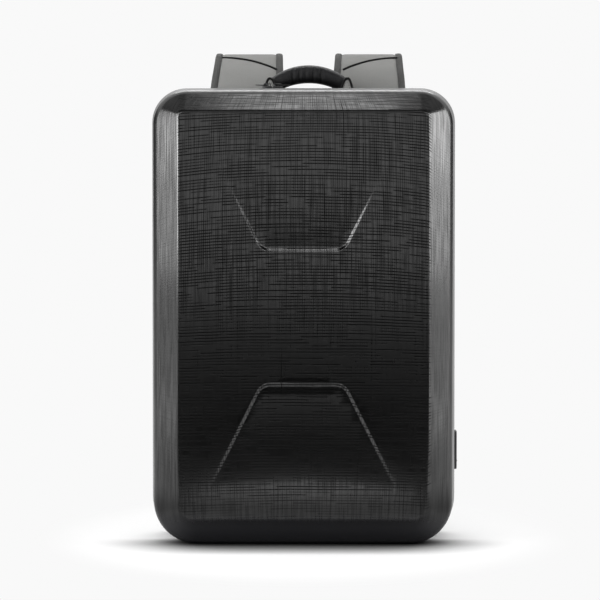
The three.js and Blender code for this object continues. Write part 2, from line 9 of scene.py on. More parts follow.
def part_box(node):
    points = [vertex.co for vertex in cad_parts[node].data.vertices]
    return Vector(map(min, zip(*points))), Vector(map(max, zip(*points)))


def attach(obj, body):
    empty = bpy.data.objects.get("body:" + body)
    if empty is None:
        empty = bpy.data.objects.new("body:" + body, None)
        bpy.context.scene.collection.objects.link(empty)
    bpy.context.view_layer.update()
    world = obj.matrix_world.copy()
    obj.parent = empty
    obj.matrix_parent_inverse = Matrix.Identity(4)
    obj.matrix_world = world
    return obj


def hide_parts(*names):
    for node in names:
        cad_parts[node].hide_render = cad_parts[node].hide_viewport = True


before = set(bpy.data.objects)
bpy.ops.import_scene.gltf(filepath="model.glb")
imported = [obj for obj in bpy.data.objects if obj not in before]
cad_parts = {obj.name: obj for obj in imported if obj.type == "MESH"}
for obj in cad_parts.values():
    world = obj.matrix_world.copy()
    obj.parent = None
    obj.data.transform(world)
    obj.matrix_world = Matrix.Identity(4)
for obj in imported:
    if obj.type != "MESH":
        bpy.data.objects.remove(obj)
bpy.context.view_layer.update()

shellLow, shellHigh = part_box("front_shell")
middleX = (shellLow.x + shellHigh.x) / 2
rimY = shellHigh.y
shellWidth = shellHigh.x - shellLow.x
shellHeight = shellHigh.z
rearLow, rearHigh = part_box("rear_body")
backY = rearHigh.y
rearTop = rearHigh.z


class NodeNet:
    # a node tree with short ways to add and join its nodes

    def __init__(self, tree):
        self.nodes, self.links = tree.nodes, tree.links

    def feed(self, socket, value):
        # a socket takes a number, a color or another node's output
        if isinstance(value, (int, float)):
            socket.default_value = value
        elif isinstance(value, tuple):
            socket.default_value = (*value, 1)
        else:
            self.links.new(value, socket)

    def coordinates(self, kind):
        return self.nodes.new("ShaderNodeTexCoord").outputs[kind]

    def split(self, source):
        node = self.nodes.new("ShaderNodeSeparateXYZ")
        self.links.new(source, node.inputs[0])
        return node.outputs

    def combine(self, *values):
        node = self.nodes.new("ShaderNodeCombineXYZ")
        for socket, value in zip(node.inputs, values):
            self.feed(socket, value)
        return node.outputs[0]

    def place(self, source, scale):
        mapping = self.nodes.new("ShaderNodeMapping")
        mapping.inputs["Scale"].default_value = scale if isinstance(scale, tuple) else (scale, scale, scale)
        self.links.new(source, mapping.inputs["Vector"])
        return mapping.outputs["Vector"]

    def math(self, operation, *values):
        node = self.nodes.new("ShaderNodeMath")
        node.operation = operation
        for socket, value in zip(node.inputs, values):
            self.feed(socket, value)
        return node.outputs[0]

    def times(self, first, second):
        return self.math("MULTIPLY", first, second)

    def plus(self, first, second):
        return self.math("ADD", first, second)

    def minus(self, first, second):
        return self.math("SUBTRACT", first, second)

    def without(self, value, share=1.0):
        # one, less a share of the value
        return self.minus(1.0, self.times(value, share))

    def range(self, source, low, high, first=0.0, last=1.0):
        node = self.nodes.new("ShaderNodeMapRange")
        node.interpolation_type = "SMOOTHSTEP"
        for socket, value in (("From Min", low), ("From Max", high), ("To Min", first), ("To Max", last)):
            node.inputs[socket].default_value = value
        self.links.new(source, node.inputs["Value"])
        return node.outputs["Result"]


# camera and light

cameraSettings = {
    "target": (-0.0052, -0.02976, 0.2387),
    "azimuth": 0.6,
    "elevation": 2.1,
    "distance": 2.7,
    "lens": 162,
    "sensor": 36,
}


def makeCamera(s):
    turn, rise = math.radians(s["azimuth"]), math.radians(s["elevation"])
    away = Vector((math.sin(turn) * math.cos(rise), -math.cos(turn) * math.cos(rise), math.sin(rise)))
    camera = bpy.data.objects.new("camera", bpy.data.cameras.new("camera"))
    camera.location = Vector(s["target"]) + away * s["distance"]
    camera.rotation_euler = (-away).to_track_quat("-Z", "Y").to_euler()
    camera.data.lens = s["lens"]
    camera.data.sensor_width = s["sensor"]
    bpy.context.scene.collection.objects.link(camera)
    bpy.context.scene.camera = camera


lightTarget = Vector((0, -0.08, 0.3))
lightSettings = {
    # name: bearing from the front in degrees, distance, height, width, tall, radiance
    "leftHigh": (-60, 1.25, 0.69, 0.9, 0.62, 5.0),
    "leftMiddle": (-62, 1.25, 0.31, 0.8, 0.14, 3.0),
    "leftLow": (-66, 1.25, 0.06, 0.7, 0.34, 1.1),
    "rightHigh": (76, 1.25, 0.69, 0.5, 0.62, 6.6),
    "rightMiddle": (76, 1.25, 0.31, 0.5, 0.14, 3.6),
    "rightLow": (76, 1.25, 0.06, 0.5, 0.34, 1.4),
    "leftEdge": (-48, 1.15, 0.46, 0.24, 0.32, 7.5),
    "leftFill": (-40, 1.25, 0.84, 0.5, 0.36, 1.3),
    "rightFill": (40, 1.25, 0.84, 0.5, 0.36, 1.3),
    "leftCorner": (-56, 1.25, 1.26, 0.6, 0.36, 1.6),
    "rightCorner": (56, 1.25, 1.26, 0.6, 0.36, 1.6),
    "frontHigh": (0, 1.0, 1.16, 1.6, 0.4, 3.6),
    "overhead": (0, 0.22, 1.5, 0.28, 0.3, 3.3),
    "backTop": (180, 0.9, 1.25, 1.0, 0.3, 6.0),
}


def makeLights(settings):
    for name, (bearing, distance, height, width, tall, radiance) in settings.items():
        light = bpy.data.lights.new(name, "AREA")
        light.shape = "RECTANGLE"
        light.size, light.size_y = width, tall
        light.energy = radiance * math.pi * width * tall
        holder = bpy.data.objects.new(name, light)
        turn = math.radians(bearing)
        holder.location = (distance * math.sin(turn), -distance * math.cos(turn), height)
        holder.rotation_euler = (lightTarget - holder.location).to_track_quat("-Z", "Y").to_euler()
        bpy.context.scene.collection.objects.link(holder)


studioSettings = {
    "white": 0.947, "dark": 0.012, "frontWhite": 0.82,
    # the direction at which each bright part of the tent begins and is full
    "backdrop": (0.86, 0.95), "roof": (0.2, 0.5), "behind": (-0.2, 0.2),
    "front": (-0.1, -0.6), "wallTop": (0.5, 0.28),
    "floorSize": 6, "floorAlbedo": 0.95, "floorRoughness": 0.9, "floorSpecular": 0.1,
    "tableFront": -0.45, "tableFade": 0.06,
    "shadowNear": 0.15, "shadowReach": 0.34, "shadowShape": (1.25, 0.9, 1),
    # reach, strength and start in front of the painted contact shadow on the floor
    "paintedShadowReach": 0.07, "paintedShadowDepth": 3.2, "paintedShadowFrom": (-0.03, -0.09),
}


def makeWorld(s):
    # a white tent: backdrop, roof and front are bright, with dark flags beside and behind the bag
    world = bpy.data.worlds.new("studio")
    world.use_nodes = True
    net = NodeNet(world.node_tree)
    _, y, z = net.split(net.coordinates("Generated"))
    roof = net.times(net.range(z, *s["roof"]), net.range(y, *s["behind"]))
    # in front the tent is open above a low white wall
    front = net.times(net.range(y, *s["front"], 0.0, s["frontWhite"]), net.range(z, *s["wallTop"]))
    bright = net.math("MAXIMUM", net.math("MAXIMUM", net.range(y, *s["backdrop"]), roof), front)
    level = net.plus(net.times(bright, s["white"] - s["dark"]), s["dark"])
    net.feed(net.nodes["Background"].inputs["Color"], level)
    bpy.context.scene.world = world


def makeFloor(s):
    # the floor takes the bag's soft shadow near it, with a painted contact shadow added in front, and melts
    # into the backdrop further off
    bm = bmesh.new()
    bmesh.ops.create_grid(bm, x_segments=1, y_segments=1, size=s["floorSize"])
    mesh = bpy.data.meshes.new("floor")
    bm.to_mesh(mesh)
    bm.free()
    floor = bpy.data.objects.new("floor", mesh)
    bpy.context.scene.collection.objects.link(floor)
    pale = bpy.data.materials.new("paleFloor")
    pale.use_nodes = True
    net = NodeNet(pale.node_tree)
    shader = net.nodes["Principled BSDF"]
    shader.inputs["Roughness"].default_value = s["floorRoughness"]
    shader.inputs["Specular IOR Level"].default_value = s["floorSpecular"]
    spot = net.coordinates("Object")
    y = net.split(spot)["Y"]
    # painted shadow: the floor's colour is darkened by occlusion in front, under the overhanging bevel
    shade = net.nodes.new("ShaderNodeAmbientOcclusion")
    shade.inputs["Distance"].default_value = s["paintedShadowReach"]
    depth = net.math("POWER", shade.outputs["AO"], net.range(y, *s["paintedShadowFrom"], 0.0, s["paintedShadowDepth"]))
    net.feed(shader.inputs["Base Color"], net.times(depth, s["floorAlbedo"]))
    # past the shadow it glows as the backdrop does, up to the table's front edge
    glow = net.nodes.new("ShaderNodeEmission")
    edge = net.range(y, s["tableFront"] - s["tableFade"], s["tableFront"], s["dark"], s["white"])
    net.feed(glow.inputs["Color"], edge)
    away = net.nodes.new("ShaderNodeVectorMath")
    away.operation = "LENGTH"
    net.feed(away.inputs[0], net.place(spot, s["shadowShape"]))
    both = net.nodes.new("ShaderNodeMixShader")
    net.feed(both.inputs["Fac"], net.range(away.outputs["Value"], s["shadowNear"], s["shadowReach"]))
    net.feed(both.inputs[1], shader.outputs["BSDF"])
    net.feed(both.inputs[2], glow.outputs["Emission"])
    net.feed(net.nodes["Material Output"].inputs["Surface"], both.outputs["Shader"])
    mesh.materials.append(pale)


makeCamera(cameraSettings)
makeLights(lightSettings)
makeWorld(studioSettings)
makeFloor(studioSettings)
bpy.context.scene.view_settings.view_transform = "Standard"
print("camera, lights and floor are set")


# materials

bandScale = 0.32   # a wave of this scale has one band to each turn of its pitch


class Finish(NodeNet):
    # a material in the making

    def __init__(self, name, roughness, **sockets):
        self.material = bpy.data.materials.new(name)
        self.material.use_nodes = True
        super().__init__(self.material.node_tree)
        self.shader = self.nodes["Principled BSDF"]
        self.shader.inputs["Roughness"].default_value = roughness
        for socket, value in sockets.items():
            self.shader.inputs[socket.replace("_", " ")].default_value = value
        self.spot = self.coordinates("Object")

    def noise(self, scale, detail=2.0, rough=0.5, source=None):
        texture = self.nodes.new("ShaderNodeTexNoise")
        for socket, value in (("Scale", 1.0), ("Detail", detail), ("Roughness", rough)):
            texture.inputs[socket].default_value = value
        self.links.new(self.place(source or self.spot, scale), texture.inputs["Vector"])
        return texture.outputs["Fac"]

    def wave(self, pitch, direction, distortion):
        texture = self.nodes.new("ShaderNodeTexWave")
        texture.bands_direction = direction
        texture.inputs["Scale"].default_value = bandScale
        texture.inputs["Distortion"].default_value = distortion
        self.links.new(self.place(self.spot, pitch), texture.inputs["Vector"])
        return texture.outputs["Fac"]

    def cells(self, pitch):
        texture = self.nodes.new("ShaderNodeTexVoronoi")
        self.links.new(self.place(self.spot, pitch), texture.inputs["Vector"])
        return texture

    def ramp(self, source, low, high, first=0.0, last=1.0):
        node = self.nodes.new("ShaderNodeValToRGB")
        for point, at, value in zip(node.color_ramp.elements, (low, high), (first, last)):
            point.position = at
            point.color = (value, value, value, 1)
        self.links.new(source, node.inputs["Fac"])
        return node.outputs["Color"]

    def mix(self, factor, first, second):
        node = self.nodes.new("ShaderNodeMix")
        node.data_type = "RGBA"
        for socket, value in (("Factor", factor), (6, first), (7, second)):   # 6 and 7 are the color sockets
            self.feed(node.inputs[socket], value)
        return node.outputs[2]

    def within(self, value):
        return self.math("MAXIMUM", self.math("MINIMUM", value, 1.0), -1.0)

    def color(self, source):
        self.links.new(source, self.shader.inputs["Base Color"])

    def roughness(self, source):
        self.links.new(source, self.shader.inputs["Roughness"])

    def tint(self, source):
        self.links.new(source, self.shader.inputs["Specular Tint"])

    def bump(self, source, strength, distance):
        node = self.nodes.new("ShaderNodeBump")
        node.inputs["Strength"].default_value = strength
        node.inputs["Distance"].default_value = distance
        self.links.new(source, node.inputs["Height"])
        self.links.new(node.outputs["Normal"], self.shader.inputs["Normal"])


dashSettings = {
    "edge": (0.7, 1.5), "wobblePace": 9, "wobble": 1.2, "rowTurn": 0.7549, "rowSpread": 40.0, "rowStep": 7.37,
    "softness": 0.035, "strengthPace": 6, "strength": (0.36, 0.6, 0.5, 1.0),
}

shellFinish = {
    "roughness": 0.125, "dashRoughness": 0.3, "wallRoughness": 0.22, "specular": 1.0,
    "ground": 0.0012, "dashDark": 0.0005, "dashTint": 0.1, "bump": 0.16, "bumpDepth": 0.0002,
    # rows to the metre, how fast dashes start and stop along a row, share that is bare, half width in rows
    "weft": (335, 24, 0.43, 0.15), "warp": (455, 13, 0.4, 0.2), "ribs": (150, 16, 0.56, 0.07),
    "warpWeight": 0.4, "ribWeight": 0.3,
    "threads": (470, 22, 1), "threadRange": (0.36, 0.62), "threadOnWeft": 0.3, "threadOnGround": 0.34,
    "arch": 0.27, "frontY": -0.1038, "middleZ": 0.225, "wrapAcross": 8.3, "wrapUp": 5,
    "fade": 0.003, "panelHalf": 0.1215, "besideWeft": 0.85, "wallFrom": 0.0205, "wallGrain": 0.15,
    "panelTop": 0.4249, "panelLine": 0.0009, "lineDark": 0.8,
    # where the grain fades and the painted shade on the reflection begins towards the foot, and how strong
    # both are
    "footGrainAndShade": (0.036, 0.062), "footGrainAndShadeShare": 0.55,
    # painted light on the bottom bevel: where it begins and its lighter colour
    "footBevel": (0.014, 0.036), "footPaintedLight": (0.025, 0.025, 0.0275),
}


def brokenLines(f, counter, along, rows, pace, bare, half):
    # rows of dashes: each row starts and stops by its own stretch of noise
    s = dashSettings
    wobble = f.noise((s["wobblePace"], s["wobblePace"], 1), detail=1.0, source=f.combine(along, counter, 0.0))
    place = f.plus(f.times(counter, rows), f.times(wobble, s["wobble"]))
    row = f.math("FLOOR", place)
    off = f.math("ABSOLUTE", f.minus(f.math("FRACT", place), 0.5))
    line = f.range(off, half * s["edge"][0], half * s["edge"][1], 1.0, 0.0)
    shift = f.times(f.math("FRACT", f.times(row, s["rowTurn"])), s["rowSpread"])
    spot = f.combine(f.plus(along, shift), f.times(row, s["rowStep"]), 0.0)
    stretches = f.noise((pace, 1, 1), detail=1.5, source=spot)
    shown = f.range(stretches, bare - s["softness"], bare + s["softness"])
    strength = f.range(f.noise((s["strengthPace"], 1, 1), detail=1.0, source=spot), *s["strength"])
    return f.times(line, f.times(shown, strength))


def shellPlastic(s):
    # linen-like grain: long broken dashes that arch over the panel, crossed by finer upright lines
    f = Finish("shellPlastic", s["roughness"], Specular_IOR_Level=s["specular"])
    x, y, z = f.split(f.spot)
    # the grain runs on over the bevels and walls by their depth behind the panel
    depth = f.minus(y, s["frontY"])
    sideways = f.within(f.times(x, s["wrapAcross"]))
    upwards = f.within(f.times(f.minus(z, s["middleZ"]), s["wrapUp"]))
    across = f.plus(x, f.times(depth, sideways))
    up = f.plus(f.plus(z, f.times(f.times(x, x), s["arch"])), f.times(depth, upwards))
    besidePanel = f.range(f.math("ABSOLUTE", x), s["panelHalf"], s["panelHalf"] + s["fade"])
    weft = f.times(brokenLines(f, up, across, *s["weft"]), f.without(besidePanel, s["besideWeft"]))
    warp = f.times(brokenLines(f, across, up, *s["warp"]), s["warpWeight"])
    ribs = f.times(brokenLines(f, across, up, *s["ribs"]), s["ribWeight"])
    yarn = f.noise(s["threads"], detail=1.0, source=f.combine(across, up, 0.0))
    threads = f.range(yarn, *s["threadRange"])
    weft = f.times(weft, f.without(threads, s["threadOnWeft"]))
    wall = f.range(depth, s["wallFrom"], s["wallFrom"] + s["fade"], 1.0, s["wallGrain"])
    dark = f.times(f.math("MINIMUM", f.plus(weft, f.plus(warp, ribs)), 1.0), wall)
    # towards the foot the grain is fainter, and the reflection is dimmed through the specular tint: painted
    # shade
    footGrainAndShadeMask = f.range(z, *s["footGrainAndShade"], 1.0, 0.0)
    dark = f.times(dark, f.without(footGrainAndShadeMask, s["footGrainAndShadeShare"]))
    # the panel ends in a dark line under the top bevel
    fromTop = f.math("ABSOLUTE", f.minus(z, s["panelTop"]))
    line = f.range(fromTop, s["panelLine"], s["panelLine"] * 2, s["lineDark"], 0.0)
    dark = f.math("MAXIMUM", dark, f.times(line, f.without(besidePanel)))
    grain = f.times(f.without(dark), f.without(threads, s["threadOnGround"]))
    tone = f.mix(grain, (s["dashDark"],) * 3, (s["ground"],) * 3)
    # painted light: the bottom bevel's colour is made lighter
    f.color(f.mix(f.range(z, *s["footBevel"], 1.0, 0.0), tone, s["footPaintedLight"]))
    shine = f.range(grain, 0.0, 1.0, s["dashRoughness"], s["roughness"])
    f.roughness(f.plus(shine, f.times(f.without(wall), s["wallRoughness"])))
    tint = f.range(grain, 0.0, 1.0, s["dashTint"], 1.0)
    # painted shade: the reflection is dimmed towards the foot
    f.tint(f.times(tint, f.without(footGrainAndShadeMask, s["footGrainAndShadeShare"])))
    f.bump(grain, s["bump"], s["bumpDepth"])
    return f.material


def wovenFabric(name, dark, light, pitch, roughness=0.85, sheen=0.1):
    # plain weave: two crossed waves, broken up by slow and fast noise
    f = Finish(name, roughness, Sheen_Weight=sheen, Sheen_Roughness=0.5, Specular_IOR_Level=0.3)
    weave = f.plus(f.times(f.wave(pitch, "X", 0.4), 0.5), f.times(f.wave(pitch, "Z", 0.4), 0.5))
    fuzz = f.noise(900, detail=3, rough=0.7)
    slow = f.noise(22, detail=3)
    height = f.plus(weave, f.times(fuzz, 0.5))
    f.color(f.mix(f.times(f.plus(height, f.times(slow, 0.35)), 0.62), dark, light))
    f.roughness(f.ramp(fuzz, 0.0, 1.0, roughness - 0.06, min(roughness + 0.08, 1.0)))
    f.bump(height, 0.5, 0.0004)
    return f.material


def ribbedBand(name, dark, light, ribPitch, direction, sheen=0.08):
    # webbing and binding: close ribs one way, small yarn noise over them
    f = Finish(name, 0.8, Sheen_Weight=sheen, Sheen_Roughness=0.4, Specular_IOR_Level=0.3)
    ribs = f.wave(ribPitch, direction, 0.3)
    yarn = f.noise(700, detail=2, rough=0.6)
    height = f.plus(f.times(ribs, 0.7), f.times(yarn, 0.5))
    f.color(f.mix(f.times(height, 0.85), dark, light))
    f.roughness(f.ramp(yarn, 0.0, 1.0, 0.72, 0.88))
    f.bump(height, 0.6, 0.0004)
    return f.material


def spacerMesh(name, dark, light):
    # air mesh: round holes in rows over a darker net
    f = Finish(name, 0.9, Sheen_Weight=0.15, Sheen_Roughness=0.5, Specular_IOR_Level=0.25)
    cells = f.cells(330)
    cells.inputs["Scale"].default_value = 1.0
    cells.inputs["Randomness"].default_value = 0.25
    yarn = f.noise(1200, detail=2)
    height = f.plus(f.ramp(cells.outputs["Distance"], 0.22, 0.42), f.times(yarn, 0.3))
    f.color(f.mix(f.times(height, 0.75), dark, light))
    f.roughness(f.ramp(yarn, 0.0, 1.0, 0.84, 0.96))
    f.bump(height, 0.7, 0.0006)
    return f.material


def grainedLeatherette(name, dark, light):
    # small cells with creases between them, over fine pores
    f = Finish(name, 0.5, Specular_IOR_Level=0.2)
    cells = f.cells(620)
    cells.feature = "DISTANCE_TO_EDGE"
    pores = f.noise(300, detail=4, rough=0.6)
    creases = f.ramp(cells.outputs["Distance"], 0.0, 0.12)
    height = f.plus(f.times(creases, 0.6), f.times(pores, 0.6))
    f.color(f.mix(f.times(f.plus(height, f.noise(30, detail=2)), 0.55), dark, light))
    f.roughness(f.ramp(pores, 0.2, 0.8, 0.42, 0.62))
    f.bump(height, 0.35, 0.0003)
    return f.material


def mouldedPlastic(name, dark, light, roughness=0.42, specular=0.5):
    # a fine stipple, and a gloss that changes slowly
    f = Finish(name, roughness, Specular_IOR_Level=specular)
    stipple, slow = f.noise(1500, detail=2), f.noise(40, detail=2)
    f.color(f.mix(f.times(f.plus(stipple, slow), 0.5), dark, light))
    f.roughness(f.ramp(slow, 0.2, 0.8, roughness - 0.06, roughness + 0.1))
    f.bump(stipple, 0.2, 0.0002)
    return f.material


def blackLacquer(name, dark, light):
    # metal under black lacquer, a little worn
    f = Finish(name, 0.3, Specular_IOR_Level=0.4)
    grain = f.noise((2600, 260, 2600), detail=2)
    worn = f.noise(420, detail=3, rough=0.7)
    f.color(f.mix(f.ramp(worn, 0.55, 0.8), dark, light))
    f.roughness(f.ramp(grain, 0.2, 0.8, 0.2, 0.36))
    f.bump(grain, 0.1, 0.0001)
    return f.material


finishes = {
    "shell": shellPlastic(shellFinish),
    "body": wovenFabric("bodyFabric", (0.010, 0.010, 0.011), (0.034, 0.035, 0.039), 1500, roughness=0.8),
    "tape": ribbedBand("zipTapeWeave", (0.006, 0.006, 0.007), (0.022, 0.022, 0.024), 1700, "Y"),
    "coil": mouldedPlastic("coilNylon", (0.010, 0.010, 0.011), (0.024, 0.024, 0.026), roughness=0.34),
    "metal": blackLacquer("blackLacquer", (0.004, 0.004, 0.0045), (0.02, 0.02, 0.021)),
    "grip": grainedLeatherette("gripLeatherette", (0.002, 0.002, 0.0024), (0.007, 0.007, 0.008)),
    "grey": wovenFabric("greyWeave", (0.165, 0.165, 0.16), (0.295, 0.295, 0.286), 1300, sheen=0.0),
    "binding": ribbedBand("greyBinding", (0.045, 0.045, 0.044), (0.12, 0.12, 0.1175), 1500, "Z", sheen=0.0),
    "greyThread": mouldedPlastic("greyThread", (0.03, 0.03, 0.03), (0.07, 0.07, 0.069), roughness=0.8),
    "piping": mouldedPlastic("blackPiping", (0.001, 0.001, 0.001), (0.004, 0.004, 0.004), 0.6, specular=0.15),
    "mesh": spacerMesh("padMesh", (0.006, 0.006, 0.007), (0.045, 0.046, 0.049)),
    "webbing": ribbedBand("nylonWebbing", (0.008, 0.008, 0.009), (0.036, 0.036, 0.039), 1400, "Z"),
    "plastic": mouldedPlastic("satinPlastic", (0.010, 0.010, 0.011), (0.024, 0.024, 0.026)),
    "rubber": mouldedPlastic("softRubber", (0.014, 0.014, 0.015), (0.03, 0.03, 0.032), roughness=0.66),
    "thread": mouldedPlastic("blackThread", (0.012, 0.012, 0.013), (0.05, 0.05, 0.054), roughness=0.7),
}
print("materials are made")


# shared ways of making a piece

def makePiece(name, bm, finish, body="pack", sharpAngle=38, replaces=()):
    mesh = bpy.data.meshes.new(name)
    bm.to_mesh(mesh)
    bm.free()
    mesh.polygons.foreach_set("use_smooth", [True] * len(mesh.polygons))
    mesh.set_sharp_from_angle(angle=math.radians(sharpAngle))
    mesh.materials.append(finishes[finish])
    piece = bpy.data.objects.new(name, mesh)
    bpy.context.scene.collection.objects.link(piece)
    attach(piece, body)
    if replaces:
        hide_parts(*replaces)
    return piece


def stretch(bm, verts, factors, pivot):
    space = Matrix.Translation(-Vector(pivot))
    bmesh.ops.scale(bm, vec=factors, space=space, verts=verts)


def roundedPanel(bm, low, high, y, topRadius, bottomRadius, segments):
    # a flat rounded rectangle that faces -Y
    grid = bmesh.ops.create_grid(bm, x_segments=1, y_segments=1, size=0.5)["verts"]
    bmesh.ops.rotate(bm, verts=grid, matrix=Matrix.Rotation(math.pi / 2, 3, "X"))
    bmesh.ops.scale(bm, verts=grid, vec=(high[0] - low[0], 1, high[1] - low[1]))
    bmesh.ops.translate(bm, verts=grid, vec=((low[0] + high[0]) / 2, y, (low[1] + high[1]) / 2))
    middleZ = (low[1] + high[1]) / 2
    for radius, corners in (
        (topRadius, [v for v in grid if v.co.z > middleZ]),
        (bottomRadius, [v for v in grid if v.co.z < middleZ]),
    ):
        bmesh.ops.bevel(bm, geom=corners, offset=radius, offset_type="OFFSET", segments=segments,
                        profile=0.5, affect="VERTICES", material=-1)
    bm.faces.ensure_lookup_table()
    return max(bm.faces, key=lambda face: face.calc_area())


def pushAlong(bm, face, places):
    # pushes a face from place to place, each place a matrix that holds its size too
    for before, after in zip(places, places[1:]):
        pushed = bmesh.ops.extrude_face_region(bm, geom=[face])["geom"]
        face = next(item for item in pushed if isinstance(item, bmesh.types.BMFace))
        bmesh.ops.transform(bm, matrix=after @ before.inverted(), space=Matrix.Identity(4), verts=face.verts)
    bmesh.ops.recalc_face_normals(bm, faces=bm.faces)
    return face


def placeAt(point, across, out, along, halfAcross=1.0, halfOut=1.0):
    # a matrix whose axes are the three directions, with its size across and outwards
    basis = Matrix((across, out, along)).transposed().to_4x4()
    return Matrix.Translation(point) @ basis @ Matrix.Diagonal((halfAcross, halfOut, 1, 1))


def tubeAlong(bm, points, radius, segments=8, closed=False):
    places = []
    count = len(points)
    side = None
    for i, point in enumerate(points):
        if closed:
            along = (points[(i + 1) % count] - points[i - 1]).normalized()
        else:
            along = (points[min(i + 1, count - 1)] - points[max(i - 1, 0)]).normalized()
        if side is None:
            side = Vector((0, 1, 0)) if abs(along.y) < 0.9 else Vector((1, 0, 0))
        side = (side - along * side.dot(along)).normalized()
        places.append(placeAt(point, side, along.cross(side), along, radius, radius))
    if closed:
        places.append(places[0].copy())
    ring = bmesh.ops.create_circle(bm, cap_ends=True, segments=segments, radius=1, matrix=places[0])["verts"]
    first = ring[0].link_faces[0]
    last = pushAlong(bm, first, places)
    if closed:
        bmesh.ops.delete(bm, geom=[f for f in (first, last) if f.is_valid], context="FACES_ONLY")
        bmesh.ops.remove_doubles(bm, verts=bm.verts, dist=radius * 0.05)
        bmesh.ops.recalc_face_normals(bm, faces=bm.faces)


def squaredRod(bm, places, segments, powers):
    # a rod through the places, its round squared off by a power across and one outwards
    ring = bmesh.ops.create_circle(bm, cap_ends=True, segments=segments, radius=1)["verts"]
    for vert in ring:
        for axis, power in enumerate(powers):
            value = vert.co[axis]
            vert.co[axis] = math.copysign(abs(value) ** power, value)
    bmesh.ops.transform(bm, matrix=places[0], space=Matrix.Identity(4), verts=ring)
    pushAlong(bm, ring[0].link_faces[0], places)


def copyOfNode(node):
    bm = bmesh.new()
    bm.from_mesh(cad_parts[node].data)
    bmesh.ops.remove_doubles(bm, verts=bm.verts, dist=1e-6)
    bmesh.ops.dissolve_limit(bm, angle_limit=math.radians(1.5), verts=bm.verts, edges=bm.edges)
    return bm


def softenEdges(bm, offset, segments=2, sharperThan=25):
    angle = math.radians(sharperThan)
    edges = [e for e in bm.edges if len(e.link_faces) == 2 and e.calc_face_angle(0) > angle]
    bmesh.ops.bevel(bm, geom=edges, offset=offset, segments=segments, profile=0.5, affect="EDGES",
                    material=-1, clamp_overlap=True)


def hardPiece(name, node, finish, offset, body="pack", segments=2):
    bm = copyOfNode(node)
    softenEdges(bm, offset, segments)
    return makePiece(name, bm, finish, body, replaces=(node,))


stuffing = {"quality": 6, "mass": 0.3, "tension_stiffness": 15, "compression_stiffness": 15,
            "bending_stiffness": 3, "use_pressure": True}


def blowUp(piece, pressure, cap, frames):
    # the piece swells as cloth, and is held within the cap of where it was
    start = [v.co.copy() for v in piece.data.vertices]
    cloth = piece.modifiers.new("cloth", "CLOTH")
    for name, value in stuffing.items():
        setattr(cloth.settings, name, value)
    cloth.settings.uniform_pressure_force = pressure
    cloth.settings.effector_weights.gravity = 0
    cloth.point_cache.frame_start, cloth.point_cache.frame_end = 1, frames
    for step in range(1, frames + 1):
        bpy.context.scene.frame_set(step)
    applyModifiers(piece)
    bpy.context.scene.frame_set(1)
    for vertex, origin in zip(piece.data.vertices, start):
        moved = vertex.co - origin
        if moved.length > cap:
            vertex.co = origin + moved.normalized() * cap


def inflate(piece, voxel, pressure, cap, frames):
    # stuffing: the piece is remeshed, blown up and smoothed
    remesh = piece.modifiers.new("remesh", "REMESH")
    remesh.mode = "VOXEL"
    remesh.voxel_size = voxel
    applyModifiers(piece)
    blowUp(piece, pressure, cap, frames)
    bm = bmesh.new()
    bm.from_mesh(piece.data)
    for _ in range(2):
        bmesh.ops.smooth_vert(bm, verts=bm.verts, factor=0.5,
                              use_axis_x=True, use_axis_y=True, use_axis_z=True)
    bm.to_mesh(piece.data)
    bm.free()
    subdivide = piece.modifiers.new("subdivide", "SUBSURF")
    subdivide.levels = subdivide.render_levels = 1
    applyModifiers(piece)
    piece.data.polygons.foreach_set("use_smooth", [True] * len(piece.data.polygons))


def applyModifiers(piece):
    graph = bpy.context.evaluated_depsgraph_get()
    mesh = bpy.data.meshes.new_from_object(piece.evaluated_get(graph))
    old = piece.data
    piece.modifiers.clear()
    piece.data = mesh
    bpy.data.meshes.remove(old)


def thicken(piece, wall):
    # the wall goes inwards from the outer face
    solidify = piece.modifiers.new("wall", "SOLIDIFY")
    solidify.thickness = wall
    solidify.offset = -1


def surfaceOf(piece):
    bm = bmesh.new()
    bm.from_mesh(piece.data)
    tree = BVHTree.FromBMesh(bm)
    bm.free()
    return tree


def onSurface(tree, point, direction, lift):
    # the place where a line through point meets the surface, and lifted off it
    direction = direction.normalized()
    hit, normal, _, _ = tree.ray_cast(point - direction * 0.05, direction)
    if hit is None:
        return None, None
    if normal.dot(direction) > 0:
        normal = -normal
    return hit + normal * lift, normal


def resample(points, spacing):
    # even steps along a broken line, with the direction at each
    lengths = [0.0]
    for a, b in zip(points, points[1:]):
        lengths.append(lengths[-1] + (b - a).length)
    count = max(int(lengths[-1] / spacing), 1)
    steps = []
    span = 0
    for i in range(count + 1):
        at = lengths[-1] * i / count
        while span < len(points) - 2 and lengths[span + 1] < at:
            span += 1
        share = (at - lengths[span]) / max(lengths[span + 1] - lengths[span], 1e-9)
        a, b = points[span], points[span + 1]
        steps.append((a.lerp(b, share), (b - a).normalized()))
    return steps


def beadMesh(size):
    bm = bmesh.new()
    bmesh.ops.create_uvsphere(bm, u_segments=6, v_segments=4, radius=0.5)
    bmesh.ops.scale(bm, verts=bm.verts, vec=size)
    mesh = bpy.data.meshes.new("bead")
    bm.to_mesh(mesh)
    bm.free()
    return mesh


def scatter(bm, bead, spots):
    # a copy of the bead at each spot
    for spot in spots:
        placed = bead.copy()
        placed.transform(spot)
        bm.from_mesh(placed)
        bpy.data.meshes.remove(placed)
    bpy.data.meshes.remove(bead)


def addStitches(bm, steps, normals, length, width):
    # each stitch is a short flattened bead sunk half into the cloth
    spots = []
    for (point, along), normal in zip(steps, normals):
        spots.append(placeAt(point, along, along.cross(normal).normalized(), normal))
    scatter(bm, beadMesh((length, width, width * 0.8)), spots)


